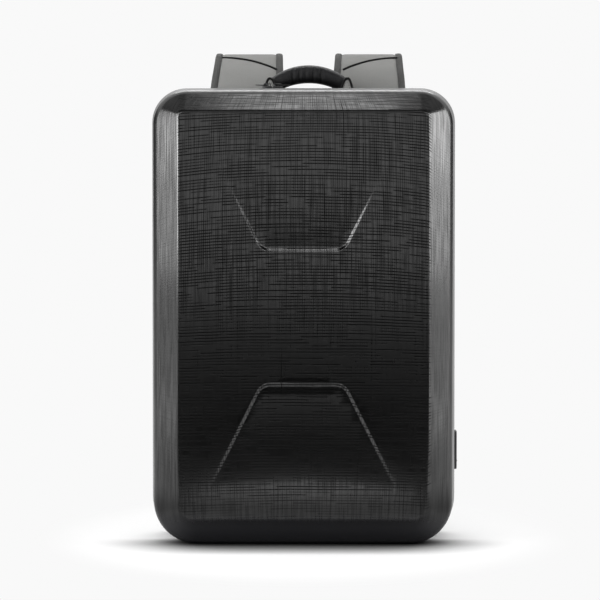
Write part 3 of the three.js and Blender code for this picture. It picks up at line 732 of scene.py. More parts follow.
def smoothLine(points, parts):
    # a curve through all the points
    line = []
    last = len(points) - 1
    for i in range(last):
        a, b, c, d = points[max(i - 1, 0)], points[i], points[i + 1], points[min(i + 2, last)]
        for k in range(parts):
            t = k / parts
            line.append(0.5 * ((2 * b) + (c - a) * t + (2 * a - 5 * b + 4 * c - d) * t ** 2
                               + (3 * b - a - 3 * c + d) * t ** 3))
    line.append(points[-1].copy())
    return line


# moulded front shell

shellSettings = {
    "topRadius": 0.038, "bottomRadius": 0.044, "draft": 0.0042, "wallDepth": 0.049,
    "bevelSide": 0.025, "bevelTop": 0.0207, "bevelBottom": 0.026, "bevelDepth": 0.019,
    "shoulder": 0.0042, "panelEdge": 0.0018, "panelInset": 0.028, "panelRim": 0.001, "crown": 0.006,
    "wall": 0.0024, "cell": 0.009, "cornerSegments": 14, "support": 0.03,
    "recessBelowMiddle": 0.0005, "recessOffset": 0.066, "recessHalf": 0.040, "recessLean": 0.5,
    "recessReach": 0.098, "recessDepth": 0.0026, "recessCorner": 0.014,
    "ledgeWidth": 0.0042, "ledgeOut": 0.0025, "ledgeCuts": 6, "cornerParts": 5, "cornerNear": 0.009,
}


def recessSides(s):
    # the recess's edge as straight cuts: a point and an outward direction, in x and height above the ledge
    sideTurn = math.pi / 2 - math.atan(s["recessLean"])
    tangent = s["recessCorner"] * math.tan(sideTurn / 2)
    centre = (s["recessHalf"] - tangent, s["recessCorner"])
    sides = []
    for k in range(s["cornerParts"] + 1):
        turn = sideTurn * k / s["cornerParts"]
        outX, outZ = math.sin(turn), -math.cos(turn)
        x, rise = centre[0] + s["recessCorner"] * outX, centre[1] + s["recessCorner"] * outZ
        isCorner = 0 < k < s["cornerParts"]
        sides.append((x, rise, outX, outZ, isCorner))
        if k:
            sides.append((-x, rise, -outX, outZ, isCorner))
    return sides


def facesOf(cut):
    return [item for item in cut["geom"] if isinstance(item, bmesh.types.BMFace)]


def cutFaces(bm, faces, point, normal):
    geom = list({item for face in faces for item in (face, *face.edges, *face.verts)})
    return facesOf(bmesh.ops.bisect_plane(bm, geom=geom, dist=2e-4, plane_co=point, plane_no=normal))


def supportCuts(bm, edges, share):
    # two cuts across each broad face, drawn close to its ends, so that it shades flat
    cut = bmesh.ops.subdivide_edges(bm, edges=edges, cuts=2)["geom_inner"]
    fresh = {item for item in cut if isinstance(item, bmesh.types.BMVert)}
    moves = []
    for vert in fresh:
        for edge in vert.link_edges:
            other = edge.other_vert(vert)
            if other not in fresh and abs(other.co.y - vert.co.y) > 0.001:
                moves.append((vert, other.co.lerp(vert.co, share * 3)))
    for vert, place in moves:
        vert.co = place


def isNear(face, at, reach):
    middle = face.calc_center_median()
    return math.hypot(middle.x - at.x, middle.z - at.z) < reach


def pressRecess(bm, s, panelFaces, middleZ, up):
    ledge = middleZ + up * s["recessOffset"]
    faces = [f for f in panelFaces if (f.calc_center_median().z - middleZ) * up > 0.03]
    sides = recessSides(s)
    for k in range(s["ledgeCuts"] + 1):
        inset = s["ledgeWidth"] * k / s["ledgeCuts"] - s["ledgeOut"]
        for x, rise, outX, outZ, isCorner in sides:
            at = Vector((middleX + x - outX * inset, 0, ledge + up * (rise - outZ * inset)))
            near = set(faces)
            if isCorner:
                near = {f for f in faces if isNear(f, at, s["cornerNear"])}
            rest = [f for f in faces if f not in near]
            faces = rest + cutFaces(bm, near, at, (outX, 0, up * outZ))
    faces = cutFaces(bm, faces, (0, 0, ledge + up * s["recessReach"]), (0, 0, 1))
    for vert in {v for face in faces for v in face.verts}:
        x, rise = vert.co.x - middleX, (vert.co.z - ledge) * up
        deep = min(-((x - px) * nx + (rise - pz) * nz) for px, pz, nx, nz, _ in sides) + s["ledgeOut"]
        share = min(max(deep / s["ledgeWidth"], 0), 1)
        fade = min(max(1 - rise / s["recessReach"], 0), 1)
        vert.co.y += s["recessDepth"] * fade * share * share * (3 - 2 * share)
    return faces


def makeShell(s):
    bm = bmesh.new()
    draft, halfWidth = s["draft"], shellWidth / 2
    frontY = rimY - s["wallDepth"]
    low, high = (middleX - halfWidth + draft, 0), (middleX + halfWidth - draft, shellHeight - draft)
    panel = roundedPanel(bm, low, high, frontY, s["topRadius"] - draft, s["bottomRadius"] - draft / 2,
                         s["cornerSegments"])
    # side wall, back to the rim
    shoulder = list(panel.edges)
    pulled = bmesh.ops.extrude_edge_only(bm, edges=shoulder)["geom"]
    rim = [item for item in pulled if isinstance(item, bmesh.types.BMVert)]
    bmesh.ops.translate(bm, verts=rim, vec=(0, s["wallDepth"], 0))
    widen, heighten = halfWidth / (halfWidth - draft), shellHeight / (shellHeight - draft)
    stretch(bm, rim, (widen, 1, heighten), (middleX, 0, 0))
    # sloping bevel, forward to the panel
    bmesh.ops.inset_region(bm, faces=[panel], thickness=s["panelInset"], use_even_offset=True)
    inner = list(panel.verts)
    low, high = min(v.co.z for v in inner), max(v.co.z for v in inner)
    lowWanted, highWanted = s["bevelBottom"], shellHeight - draft - s["bevelTop"]
    panelHalf = halfWidth - draft - s["bevelSide"]
    sideShare = panelHalf / max(v.co.x - middleX for v in inner)
    stretch(bm, inner, (sideShare, 1, (highWanted - lowWanted) / (high - low)), (middleX, 0, low))
    bmesh.ops.translate(bm, verts=inner, vec=(0, -s["bevelDepth"], lowWanted - low))
    bmesh.ops.bevel(bm, geom=list(panel.edges), offset=s["panelEdge"], segments=3, profile=0.5,
                    affect="EDGES", material=-1)
    bmesh.ops.bevel(bm, geom=[e for e in shoulder if e.is_valid], offset=s["shoulder"], segments=5,
                    profile=0.5, affect="EDGES", material=-1)
    supportCuts(bm, [e for e in bm.edges if abs(e.verts[0].co.y - e.verts[1].co.y) > 0.008], s["support"])
    panel = max(bm.faces, key=lambda face: face.calc_area())
    bmesh.ops.inset_region(bm, faces=[panel], thickness=s["panelRim"], use_even_offset=True)
    # a net of cuts for the crown, then the two pressed recesses
    faces = [panel]
    lowX, highX = min(v.co.x for v in panel.verts), max(v.co.x for v in panel.verts)
    lowZ, highZ = min(v.co.z for v in panel.verts), max(v.co.z for v in panel.verts)
    columns, rows = int((highX - lowX) / s["cell"]), int((highZ - lowZ) / s["cell"])
    for i in range(1, columns):
        faces = cutFaces(bm, faces, (lowX + (highX - lowX) * i / columns, 0, 0), (1, 0, 0))
    for i in range(1, rows):
        faces = cutFaces(bm, faces, (0, 0, lowZ + (highZ - lowZ) * i / rows), (0, 0, 1))
    middleZ = shellHeight / 2 - s["recessBelowMiddle"]
    pressed = set(pressRecess(bm, s, faces, middleZ, 1))
    faces = [f for f in faces if f.is_valid and f not in pressed]
    pressRecess(bm, s, faces, middleZ, -1)
    panelY = frontY - s["bevelDepth"]
    centreZ, halfHeight = (highWanted + lowWanted) / 2, (highWanted - lowWanted) / 2
    for vert in bm.verts:
        if vert.co.y < panelY + s["recessDepth"] + 1e-4:
            acrossShare, upShare = (vert.co.x - middleX) / panelHalf, (vert.co.z - centreZ) / halfHeight
            vert.co.y -= s["crown"] * max(1 - acrossShare ** 2, 0) * max(1 - upShare ** 4, 0)
    bmesh.ops.recalc_face_normals(bm, faces=bm.faces)
    if min(bm.faces, key=lambda face: face.calc_center_median().y).normal.y > 0:
        bmesh.ops.reverse_faces(bm, faces=bm.faces)
    shell = makePiece("mouldedShell", bm, "shell", sharpAngle=50, replaces=("front_shell",))
    thicken(shell, s["wall"])
    return shell


shell = makeShell(shellSettings)
print("front shell:", len(shell.data.polygons), "faces")


# fabric rear body with its piping

rearSettings = {
    "topRadius": 0.035, "bottomRadius": 0.0425, "backEdge": 0.0135, "bulge": 0.0016, "wall": 0.003,
    "cornerSegments": 12, "flatFoot": 0.03, "cuts": (12, 8, 16),
    "pipingRadius": 0.0017, "pipingInset": 0.0045, "pipingIn": 0.0052,
    "seamInset": 0.011, "seamPitch": 0.0042, "stitch": (0.0029, 0.0009),
}
pipingStep = 0.006
stitchLift = 0.0002


def rearOutline(s, inset, y):
    # the rear body's outline as points, drawn in by an inset
    bm = bmesh.new()
    face = roundedPanel(bm, (rearLow.x + inset, inset * 0.999), (rearHigh.x - inset, rearTop - inset), y,
                        s["topRadius"] - inset, s["bottomRadius"] - inset, s["cornerSegments"])
    points = [loop.vert.co.copy() for loop in face.loops]
    bm.free()
    return points


def cutAcross(bm, axis, places):
    # cuts the whole mesh across an axis at each place
    normal = Vector([float(i == axis) for i in range(3)])
    for place in places:
        bmesh.ops.bisect_plane(bm, geom=bm.verts[:] + bm.edges[:] + bm.faces[:], dist=1e-6,
                               plane_co=normal * place, plane_no=normal)


def makeRearBody(s):
    bm = bmesh.new()
    startY = rearLow.y
    face = roundedPanel(bm, (rearLow.x, 0), (rearHigh.x, rearTop), startY, s["topRadius"], s["bottomRadius"],
                        s["cornerSegments"])
    pushed = bmesh.ops.extrude_face_region(bm, geom=[face])["geom"]
    back = next(item for item in pushed if isinstance(item, bmesh.types.BMFace))
    bmesh.ops.translate(bm, verts=back.verts, vec=(0, backY - startY, 0))
    lone = [f for f in bm.faces if f is not back and len(f.verts) > 8]
    bmesh.ops.delete(bm, geom=lone, context="FACES_ONLY")
    bmesh.ops.bevel(bm, geom=list(back.edges), offset=s["backEdge"], segments=7, profile=0.5,
                    affect="EDGES", material=-1)
    # cuts round the sides and over the back, so that the cloth can swell a little
    columns, rings, rows = s["cuts"]
    sideDepth = backY - s["backEdge"] - startY
    cutAcross(bm, 1, [startY + sideDepth * i / rings for i in range(1, rings)])
    cutAcross(bm, 2, [rearTop * i / rows for i in range(1, rows)])
    cutAcross(bm, 0, [rearLow.x + (rearHigh.x - rearLow.x) * i / columns for i in range(1, columns)])
    centreX, depth = (rearLow.x + rearHigh.x) / 2, backY - startY
    for vert in bm.verts:
        share = min(max((vert.co.y - startY) / depth, 0), 1)
        swell = s["bulge"] * math.sin(math.pi * share)
        if vert.co.z > s["flatFoot"]:
            vert.co.x += swell * max(min((vert.co.x - centreX) / (shellWidth * 0.42), 1), -1)
        if vert.co.z > rearTop - 0.02:
            vert.co.z += swell * 0.6
    bmesh.ops.recalc_face_normals(bm, faces=bm.faces)
    if max(bm.faces, key=lambda f: f.calc_center_median().y).normal.y < 0:
        bmesh.ops.reverse_faces(bm, faces=bm.faces)
    body = makePiece("rearBody", bm, "body", sharpAngle=60, replaces=("rear_body",))
    thicken(body, s["wall"])
    return body


rearBody = makeRearBody(rearSettings)
rearSurface = surfaceOf(rearBody)


def makeRearPiping(s):
    bm = bmesh.new()
    points = rearOutline(s, s["pipingInset"], backY - s["pipingIn"])
    line = [step[0] for step in resample(points + [points[0]], pipingStep)][:-1]
    tubeAlong(bm, line, s["pipingRadius"], closed=True)
    makePiece("rearPiping", bm, "tape")


def makeRearStitches(s):
    bm = bmesh.new()
    points = rearOutline(s, s["seamInset"], backY)
    steps, normals = [], []
    for point, along in resample(points + [points[0]], s["seamPitch"])[:-1]:
        spot, normal = onSurface(rearSurface, point, Vector((0, -1, 0)), stitchLift)
        if spot is None:
            continue
        steps.append((spot, along))
        normals.append(normal)
    addStitches(bm, steps, normals, *s["stitch"])
    makePiece("rearStitches", bm, "thread")


makeRearPiping(rearSettings)
makeRearStitches(rearSettings)
print("rear body, piping and stitches")


# zip tape, coil and sliders

zipSettings = {
    "tapeBevel": 0.0005, "turnPitch": 0.00145, "turn": (0.0011875, 0.0034, 0.00169),
    "coilInset": 0.0004, "coilFoot": 0.046, "stitchInset": 0.0013, "stitchFoot": 0.05,
    "stitchPitch": 0.0036, "stitchOff": 0.0033, "cornerRadius": 0.038, "cornerParts": 8,
    "stitch": (0.0024, 0.0008), "sliderEdge": 0.0005, "pullEdge": 0.00022,
}


def rimLine(s, inset, foot):
    # up the left side, over the top and down the right
    radius, parts = s["cornerRadius"] - inset, s["cornerParts"]
    left, right = shellLow.x + inset, shellHigh.x - inset
    top = shellHeight - inset
    y = (rimY + rearLow.y) / 2
    line = [Vector((left, y, foot)), Vector((left, y, top - radius))]
    for k in range(1, parts + 1):
        turn = math.pi / 2 * k / parts
        line.append(Vector((left + radius * (1 - math.cos(turn)), y, top - radius * (1 - math.sin(turn)))))
    for k in range(parts + 1):
        turn = math.pi / 2 * k / parts
        line.append(Vector((right - radius * (1 - math.sin(turn)), y, top - radius * (1 - math.cos(turn)))))
    line.append(Vector((right, y, foot)))
    return line


def makeTape(s):
    bm = copyOfNode("zip_tape")
    softenEdges(bm, s["tapeBevel"], 2, 40)
    makePiece("zipTapeBand", bm, "tape", replaces=("zip_tape",))


def outwardAt(point, along):
    out = along.cross(Vector((0, 1, 0))).normalized()
    centre = Vector((middleX, point.y, shellHeight / 2))
    return -out if out.dot(point - centre) < 0 else out


def makeCoil(s):
    bm = bmesh.new()
    spots = []
    for point, along in resample(rimLine(s, s["coilInset"], s["coilFoot"]), s["turnPitch"]):
        out = outwardAt(point, along)
        spots.append(placeAt(point, along, out.cross(along), out))
    scatter(bm, beadMesh(s["turn"]), spots)
    makePiece("zipCoilTurns", bm, "coil", sharpAngle=80, replaces=("zip_coil",))


def makeTapeStitches(s):
    bm = bmesh.new()
    for side in (-1, 1):
        steps, normals = [], []
        for point, along in resample(rimLine(s, s["stitchInset"], s["stitchFoot"]), s["stitchPitch"]):
            steps.append((point + Vector((0, side * s["stitchOff"], 0)), along))
            normals.append(outwardAt(point, along))
        addStitches(bm, steps, normals, *s["stitch"])
    makePiece("tapeStitches", bm, "thread")


makeTape(zipSettings)
makeCoil(zipSettings)
makeTapeStitches(zipSettings)
for side in ("left", "right"):
    hardPiece("slider_" + side, "zip_slider_" + side, "metal", zipSettings["sliderEdge"])
    hardPiece("pullTab_" + side, "zip_pull_" + side, "metal", zipSettings["pullEdge"],
              body="zip_pull_" + side)
print("zip")


# carry handle

gripSettings = {
    "centreX": 0.0033, "centreY": 0.00924, "apex": 0.4658, "arc": 0.061, "halfSpan": 0.0385,
    "halfDeep": 0.0146, "halfThick": 0.0091, "endShare": 0.78, "squareness": 0.78, "places": 32, "round": 24,
    "pleats": ((-0.0165, 0.0024), (-0.0095, 0.0022), (-0.0035, 0.0016), (0.0045, 0.0022), (0.0125, 0.0024)),
    "pleatWidth": 0.0017, "deepTaper": 0.1,
    # voxel, pressure, furthest move and frames of the stuffing
    "puff": (0.0022, 3.0, 0.0008, 14),
}


def gripPlace(s, share):
    turn = math.asin(share * s["halfSpan"] / s["arc"])
    point = Vector((s["centreX"] + s["arc"] * math.sin(turn), s["centreY"],
                    s["apex"] - s["arc"] * (1 - math.cos(turn))))
    out = Vector((math.sin(turn), 0, math.cos(turn)))
    thin = 1 - (1 - s["endShare"]) * abs(share) ** 2
    return placeAt(point, Vector((0, 1, 0)), out, Vector((0, 1, 0)).cross(out),
                   s["halfDeep"] * (1 - s["deepTaper"] * abs(share) ** 3), s["halfThick"] * thin)


def makeGrip(s):
    bm = bmesh.new()
    places = [gripPlace(s, -1 + 2 * i / s["places"]) for i in range(s["places"] + 1)]
    squaredRod(bm, places, s["round"], (s["squareness"], s["squareness"]))
    grip = makePiece("gripPad", bm, "grip", replaces=("carry_grip",))
    inflate(grip, *s["puff"])
    # soft pleats across the pad
    for vert in grip.data.vertices:
        x = vert.co.x - s["centreX"]
        for at, depth in s["pleats"]:
            near = math.exp(-((x - at) / s["pleatWidth"]) ** 2)
            front = max(0.0, (s["centreY"] - vert.co.y) / s["halfDeep"])
            vert.co.y += depth * near * front


makeGrip(gripSettings)

tabSettings = {
    "spacing": 0.076, "depth": 0.034, "edge": 0.0009, "lift": 0.0004, "pipingRadius": 0.0012,
    "pipingOut": 0.0002, "stitchPitch": 0.0026, "stitchOut": 0.0001, "stitch": (0.0017, 0.0006),
    # the stitches run under the arch, narrower and lower by these shares
    "inner": (0.55, 0.62), "innerLift": 0.0012,
    # the arch of the left tab's piping, as x from its middle and height over the body
    "arch": ((-0.0061, 0.0), (-0.0046, 0.0052), (-0.0026, 0.0103), (-0.0008, 0.0128), (0.0012, 0.0134),
             (0.0030, 0.0122), (0.0046, 0.0082), (0.0058, 0.0038), (0.0068, 0.0)),
}


def makeTabs(s):
    grip = gripSettings
    narrow, lower = s["inner"]
    for name, side in (("left", -1), ("right", 1)):
        bm = copyOfNode("handle_tab_" + name)
        softenEdges(bm, s["edge"], 3)
        makePiece("handleTab_" + name, bm, "grey", replaces=("handle_tab_" + name,))
        centre = grip["centreX"] + side * s["spacing"] / 2
        low = rearTop + s["lift"]
        bm = bmesh.new()
        for face in (-1, 1):
            y = grip["centreY"] + face * (s["depth"] / 2 + s["pipingOut"])
            line = [Vector((centre + side * x, y, low + z)) for x, z in s["arch"]]
            tubeAlong(bm, smoothLine(line, 4), s["pipingRadius"])
        makePiece("tabPiping_" + name, bm, "piping")
        bm = bmesh.new()
        steps = []
        for face in (-1, 1):
            y = grip["centreY"] + face * (s["depth"] / 2 + s["stitchOut"])
            foot = low + s["innerLift"]
            inner = [Vector((centre + side * x * narrow, y, foot + z * lower)) for x, z in s["arch"]]
            steps += [(step, face) for step in resample(smoothLine(inner, 3), s["stitchPitch"])]
        normals = [Vector((0, face, 0)) for _, face in steps]
        addStitches(bm, [step for step, _ in steps], normals, *s["stitch"])
        makePiece("tabStitches_" + name, bm, "greyThread")


makeTabs(tabSettings)
print("carry handle")


# back pad

padSettings = {
    "radius": 0.026, "edge": 0.004, "roll": 0.005, "thickness": 0.0098, "grooves": 3, "grooveDepth": 0.0026,
    "grooveWidth": 0.0045, "channelHalf": 0.012, "channelDepth": 0.005, "channelSeam": 0.013,
    "seamGaps": (0.014, 0.012), "stitchPitch": 0.0045,
    "binding": 0.0022, "bindingIn": 0.0015, "bindingLift": 0.0022, "stitch": (0.003, 0.001),
    "cornerSegments": 8, "seat": 0.0008, "headroom": 0.0006, "riseFrom": 0.003, "riseOver": 0.006,
    "footGap": 0.0004,
    # voxel, pressure, furthest move and frames of the stuffing
    "puff": (0.0045, 3.0, 0.0022, 16),
}


def padRows(s, low, high):
    # the heights of the quilting rows
    return [low.z + (high.z - low.z) * (i + 1) / (s["grooves"] + 1) for i in range(s["grooves"])]


def makePad(s):
    low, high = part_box("back_pad")
    bm = bmesh.new()
    face = roundedPanel(bm, (low.x + s["edge"], low.z + s["edge"]), (high.x - s["edge"], high.z - s["edge"]),
                        low.y + s["seat"], s["radius"] - s["edge"], s["radius"] - s["edge"],
                        s["cornerSegments"])
    pushed = bmesh.ops.extrude_face_region(bm, geom=[face])["geom"]
    back = next(item for item in pushed if isinstance(item, bmesh.types.BMFace))
    bmesh.ops.translate(bm, verts=back.verts, vec=(0, s["thickness"] - s["headroom"], 0))
    bmesh.ops.recalc_face_normals(bm, faces=bm.faces)
    bmesh.ops.bevel(bm, geom=list(back.edges), offset=s["roll"], segments=3, profile=0.5,
                    affect="EDGES", material=-1)
    pad = makePiece("backPad", bm, "mesh", replaces=("back_pad",))
    inflate(pad, *s["puff"])
    centreX = (low.x + high.x) / 2
    rows = padRows(s, low, high)
    for vert in pad.data.vertices:
        rise = min(max((vert.co.y - low.y - s["riseFrom"]) / s["riseOver"], 0), 1)
        channel = math.exp(-((vert.co.x - centreX) / s["channelHalf"]) ** 4) * s["channelDepth"]
        quilt = sum(math.exp(-((vert.co.z - row) / s["grooveWidth"]) ** 2) for row in rows) * s["grooveDepth"]
        vert.co.y -= rise * max(channel, quilt)
        vert.co.y = min(max(vert.co.y, low.y + s["footGap"]), high.y)
    return pad


pad = makePad(padSettings)
padSurface = surfaceOf(pad)


def makePadTrim(s):
    low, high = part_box("back_pad")
    bm = bmesh.new()
    inset, y = s["bindingIn"], low.y + s["bindingLift"]
    ring = roundedPanel(bm, (low.x + inset, low.z + inset), (high.x - inset, high.z - inset), y,
                        s["radius"], s["radius"], s["cornerSegments"])
    points = [loop.vert.co.copy() for loop in ring.loops]
    bmesh.ops.delete(bm, geom=bm.verts[:], context="VERTS")
    line = [step[0] for step in resample(points + [points[0]], pipingStep)][:-1]
    tubeAlong(bm, line, s["binding"], closed=True)
    makePiece("padBinding", bm, "webbing")
    bm = bmesh.new()
    centreX = (low.x + high.x) / 2
    sideGap, endGap = s["seamGaps"]
    ends = []
    for z in padRows(s, low, high):
        ends.append((Vector((low.x + sideGap, 0, z)), Vector((high.x - sideGap, 0, z))))
    for x in (centreX - s["channelSeam"], centreX + s["channelSeam"]):
        ends.append((Vector((x, 0, low.z + endGap)), Vector((x, 0, high.z - endGap))))
    steps, normals = [], []
    for line in ends:
        for point, along in resample(line, s["stitchPitch"]):
            above = Vector((point.x, high.y, point.z))
            spot, normal = onSurface(padSurface, above, Vector((0, -1, 0)), stitchLift)
            if spot is not None:
                steps.append((spot, along))
                normals.append(normal)
    addStitches(bm, steps, normals, *s["stitch"])
    makePiece("padStitches", bm, "thread")


makePadTrim(padSettings)
print("back pad")


# shoulder straps

strapSettings = {
    "top": 0.489, "reach": 0.062, "width": 0.078, "thickness": 0.012, "innerX": 0.0268, "spreadBase": 0.302,
    "foot": 0.152, "footOut": 0.5, "footHalf": 0.0175, "footThick": 0.34, "lean": 0.005, "binding": 0.0078,
    "stitchIn": 0.006, "stitchPitch": 0.0036, "stitchReach": 0.012, "stitchLift": 0.0001,
    "stitch": (0.0024, 0.0008), "bindingRound": 20, "bindingPowers": (0.7, 0.42), "bindingProud": 0.0003,
    "padThickness": 0.985, "padCorner": 0.3, "padCornerIn": 0.25,
    # voxel, pressure, furthest move and frames of the stuffing
    "puff": (0.0032, 3.0, 0.0004, 12),
    "tuck": {-1: 0.0016, 1: -0.0038}, "tuckFrom": 0.034, "tuckFade": (0.28, 0.4),
    # share of top, of reach, of spreadBase, of width and of thickness, from the sewn end to the tail
    "stations": (
        (0.808, 0.1, 0, 1, 0.8), (0.88, 0.105, 0, 1, 0.9), (0.935, 0.115, -0.004, 0.955, 1),
        (0.968, 0.15, -0.01, 0.91, 1), (0.988, 0.33, -0.0135, 0.885, 1), (0.972, 0.6, -0.01, 0.885, 1),
        (0.915, 0.83, 0, 0.89, 1), (0.84, 0.93, 0.015, 0.9, 1), (0.74, 0.96, 0.04, 0.88, 1),
        (0.62, 0.9, 0.062, 0.82, 1), (0.48, 0.74, 0.076, 0.69, 0.95), (0.38, 0.58, 0.08, 0.52, 0.85),
    ),
    # the black piping over the left strap's front, as x and height, and how the right one differs
    "pipingRadius": 0.0011, "pipingLift": 0.0001, "rightShift": 0.0083, "rightDrop": 0.0003,
    "piping": ((-0.0855, 0.4845), (-0.0752, 0.4841), (-0.0631, 0.4826), (-0.0525, 0.4804), (-0.0405, 0.4766),
               (-0.0335, 0.4738), (-0.0297, 0.4720)),
}


def leanAt(s, z):
    share = min(max((z - s["foot"]) / (rearTop - s["foot"]), 0), 1)
    return s["lean"] * share * share * (3 - 2 * share)


def tuckAt(s, side, z):
    # how far a strap leans in where it comes over the top edge
    begun = min(max((s["top"] - z) / s["tuckFrom"], 0), 1)
    kept = min(max((z - s["tuckFade"][0]) / (s["tuckFade"][1] - s["tuckFade"][0]), 0), 1)
    return s["tuck"][side] * begun * kept * kept * (3 - 2 * kept)


def strapLine(s, side):
    # the middle of the strap with its outward direction, half width and half thickness at each place
    centre = s["innerX"] + s["width"] / 2
    points, sizes = [], []
    for up, out, spread, wide, thick in s["stations"]:
        points.append(Vector((centre + spread * s["spreadBase"], backY + out * s["reach"], up * s["top"])))
        sizes.append(Vector((wide * s["width"] / 2, thick * s["thickness"] / 2, 0)))
    points.append(Vector((points[-1].x, backY + s["footOut"] * s["reach"], s["foot"] + 0.0003)))
    sizes.append(Vector((s["footHalf"], s["footThick"] * s["thickness"], 0)))
    middle, sizes = smoothLine(points, 8), smoothLine(sizes, 8)
    places = []
    for i, point in enumerate(middle):
        along = (middle[min(i + 1, len(middle) - 1)] - middle[max(i - 1, 0)]).normalized()
        out = Vector((0, along.z, -along.y)).normalized()
        x = middleX + side * point.x + leanAt(s, point.z) + tuckAt(s, side, point.z)
        places.append((Vector((x, point.y, point.z)), out, sizes[i].x, sizes[i].y))
    return places


across = Vector((1, 0, 0))


def makeStrapPad(s, name, line):
    # foam pad between the two bindings
    bm = bmesh.new()
    places = []
    for point, out, half, thick in line:
        halfPad, halfThick = half - s["binding"] * 0.5, thick * s["padThickness"]
        places.append(placeAt(point, across, out, across.cross(out), halfPad, halfThick))
    ring = bmesh.ops.create_grid(bm, x_segments=1, y_segments=1, size=1)["verts"]
    bmesh.ops.bevel(bm, geom=ring, offset=s["padCorner"], segments=3, profile=0.5, affect="VERTICES",
                    material=-1)
    bm.faces.ensure_lookup_table()
    face = bm.faces[0]
    for vert in face.verts:    # the corners are drawn in along the width only a little
        vert.co.x = math.copysign(1 - (1 - abs(vert.co.x)) * s["padCornerIn"], vert.co.x)
    bmesh.ops.transform(bm, matrix=places[0], space=Matrix.Identity(4), verts=face.verts)
    pushAlong(bm, face, places)
    strap = makePiece("strapPad_" + name, bm, "grey", replaces=("shoulder_strap_" + name,))
    inflate(strap, *s["puff"])
    return surfaceOf(strap)


def makeStrapBindings(s, name, line):
    # a folded binding over each edge
    bm = bmesh.new()
    for edge in (-1, 1):
        places = []
        for point, out, half, thick in line:
            centre = point + across * edge * (half - s["binding"] / 2)
            halfThick = thick + s["bindingProud"]
            places.append(placeAt(centre, across, out, across.cross(out), s["binding"] / 2, halfThick))
        squaredRod(bm, places, s["bindingRound"], s["bindingPowers"])
    binding = makePiece("strapBinding_" + name, bm, "binding", sharpAngle=70)
    return surfaceOf(binding)


def makeStrapStitches(s, name, line, binding):
    # a row of stitches down each binding, front and back
    steps, normals = [], []
    outs = [out for _, out, _, _ in line]
    for edge in (-1, 1):
        row = [point + across * edge * (half - s["stitchIn"]) for point, _, half, _ in line]
        spots = resample(row, s["stitchPitch"])
        for face in (-1, 1):
            for k, (point, along) in enumerate(spots):
                out = outs[min(int(k / len(spots) * len(outs)), len(outs) - 1)]
                out = (out - along * out.dot(along)).normalized() * face
                hit, _, _, distance = binding.ray_cast(point + out * s["stitchReach"], -out)
                if hit is not None and distance < s["stitchReach"]:
                    steps.append((hit + out * s["stitchLift"], along))
                    normals.append(out)
    bm = bmesh.new()
    addStitches(bm, steps, normals, *s["stitch"])
    makePiece("strapStitches_" + name, bm, "greyThread")


def makeStrapPiping(s, name, side, surfaces):
    # the dark piping that crosses the front face under the fold
    line = []
    for x, z in s["piping"]:
        start = Vector((x, 0.0, z)) if side < 0 else Vector((s["rightShift"] - x, 0.0, z - s["rightDrop"]))
        found = [onSurface(tree, start, Vector((0, 1, 0)), s["pipingLift"])[0] for tree in surfaces]
        found = [spot for spot in found if spot is not None]
        if found:
            line.append(min(found, key=lambda spot: spot.y))
    bm = bmesh.new()
    tubeAlong(bm, smoothLine(line, 6), s["pipingRadius"])
    makePiece("strapPiping_" + name, bm, "piping")


def makeStrap(s, name, side):
    line = strapLine(s, side)
    pad = makeStrapPad(s, name, line)
    binding = makeStrapBindings(s, name, line)
    makeStrapStitches(s, name, line, binding)
    makeStrapPiping(s, name, side, (pad, binding))


for name, side in (("left", -1), ("right", 1)):
    makeStrap(strapSettings, name, side)
print("shoulder straps")


# webbing, adjusters and wings

webbingSettings = {
    "edge": 0.0004, "lockEdge": 0.0009, "wingEdge": 0.0007, "tackHalf": 0.0105, "tackRise": 0.0075,
    "tackFoot": 0.011, "tackLift": 0.0001, "tackReach": 0.004, "foldDepth": 0.01,
    "stitchPitch": 0.0024, "stitch": (0.0017, 0.0007),
}


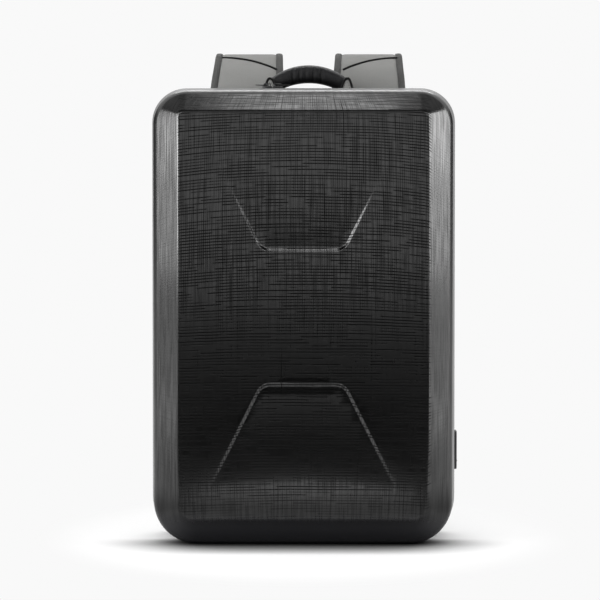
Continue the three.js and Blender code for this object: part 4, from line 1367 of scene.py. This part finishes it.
def makeWebbing(s, name, side):
    for label, node in (("adjusterLoop_", "adjuster_loop_"), ("lowerWebbing_", "lower_webbing_")):
        bm = copyOfNode(node + name)
        softenEdges(bm, s["edge"], 2, 50)
        makePiece(label + name, bm, "webbing", sharpAngle=60, replaces=(node + name,))
    hardPiece("ladderLock_" + name, "strap_adjuster_" + name, "plastic", s["lockEdge"],
              segments=3)
    bm = copyOfNode("anchor_wing_" + name)
    softenEdges(bm, s["wingEdge"], 3)
    makePiece("anchorWing_" + name, bm, "body", replaces=("anchor_wing_" + name,))
    # a boxed tack with a cross in it, through the webbing and the wing
    low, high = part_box("anchor_wing_" + name)
    centre = Vector(((low.x + high.x) / 2, high.y + s["tackLift"], low.z + s["tackFoot"]))
    turns = ((-1, -1), (1, -1), (1, 1), (-1, 1), (-1, -1))
    corners = [centre + Vector((x * s["tackHalf"], 0, z * s["tackRise"])) for x, z in turns]
    lines = [corners, [corners[0], corners[2]], [corners[1], corners[3]]]
    _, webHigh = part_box("lower_webbing_" + name)
    surface = surfaceOf(bpy.data.objects["lowerWebbing_" + name])
    steps, normals = [], []
    for line in lines:
        for point, along in resample(line, s["stitchPitch"]):
            hit = surface.ray_cast(point + Vector((0, s["tackReach"], 0)), Vector((0, -1, 0)))[0]
            spot = hit if hit is not None and hit.y < webHigh.y - s["foldDepth"] else point
            steps.append((spot + Vector((0, s["tackLift"], 0)), along))
            normals.append(Vector((0, 1, 0)))
    bm = bmesh.new()
    addStitches(bm, steps, normals, *s["stitch"])
    makePiece("wingStitches_" + name, bm, "thread")


for name, side in (("left", -1), ("right", 1)):
    makeWebbing(webbingSettings, name, side)
print("webbing and adjusters")


# charging port

portSettings = {"plateEdge": 0.0008, "coverEdge": 0.0005, "nib": (0.0009, 0.006, 0.0014), "nibEdge": 0.0003,
                "nibRise": 0.005, "nibOut": 0.0002}


def makePort(s):
    hardPiece("portPlate", "port_plate", "plastic", s["plateEdge"], segments=3)
    bm = copyOfNode("port_cover")
    softenEdges(bm, s["coverEdge"], 2)
    low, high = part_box("port_cover")
    # a finger nib across the lower end
    nib = bmesh.ops.create_cube(bm, size=1)["verts"]
    bmesh.ops.scale(bm, verts=nib, vec=s["nib"])
    middleY = (low.y + high.y) / 2
    bmesh.ops.translate(bm, verts=nib, vec=(high.x + s["nibOut"], middleY, low.z + s["nibRise"]))
    bmesh.ops.bevel(bm, geom=list({e for v in nib for e in v.link_edges}), offset=s["nibEdge"], segments=2,
                    profile=0.5, affect="EDGES", material=-1)
    makePiece("portCover", bm, "rubber", replaces=("port_cover",))


makePort(portSettings)
print("charging port")
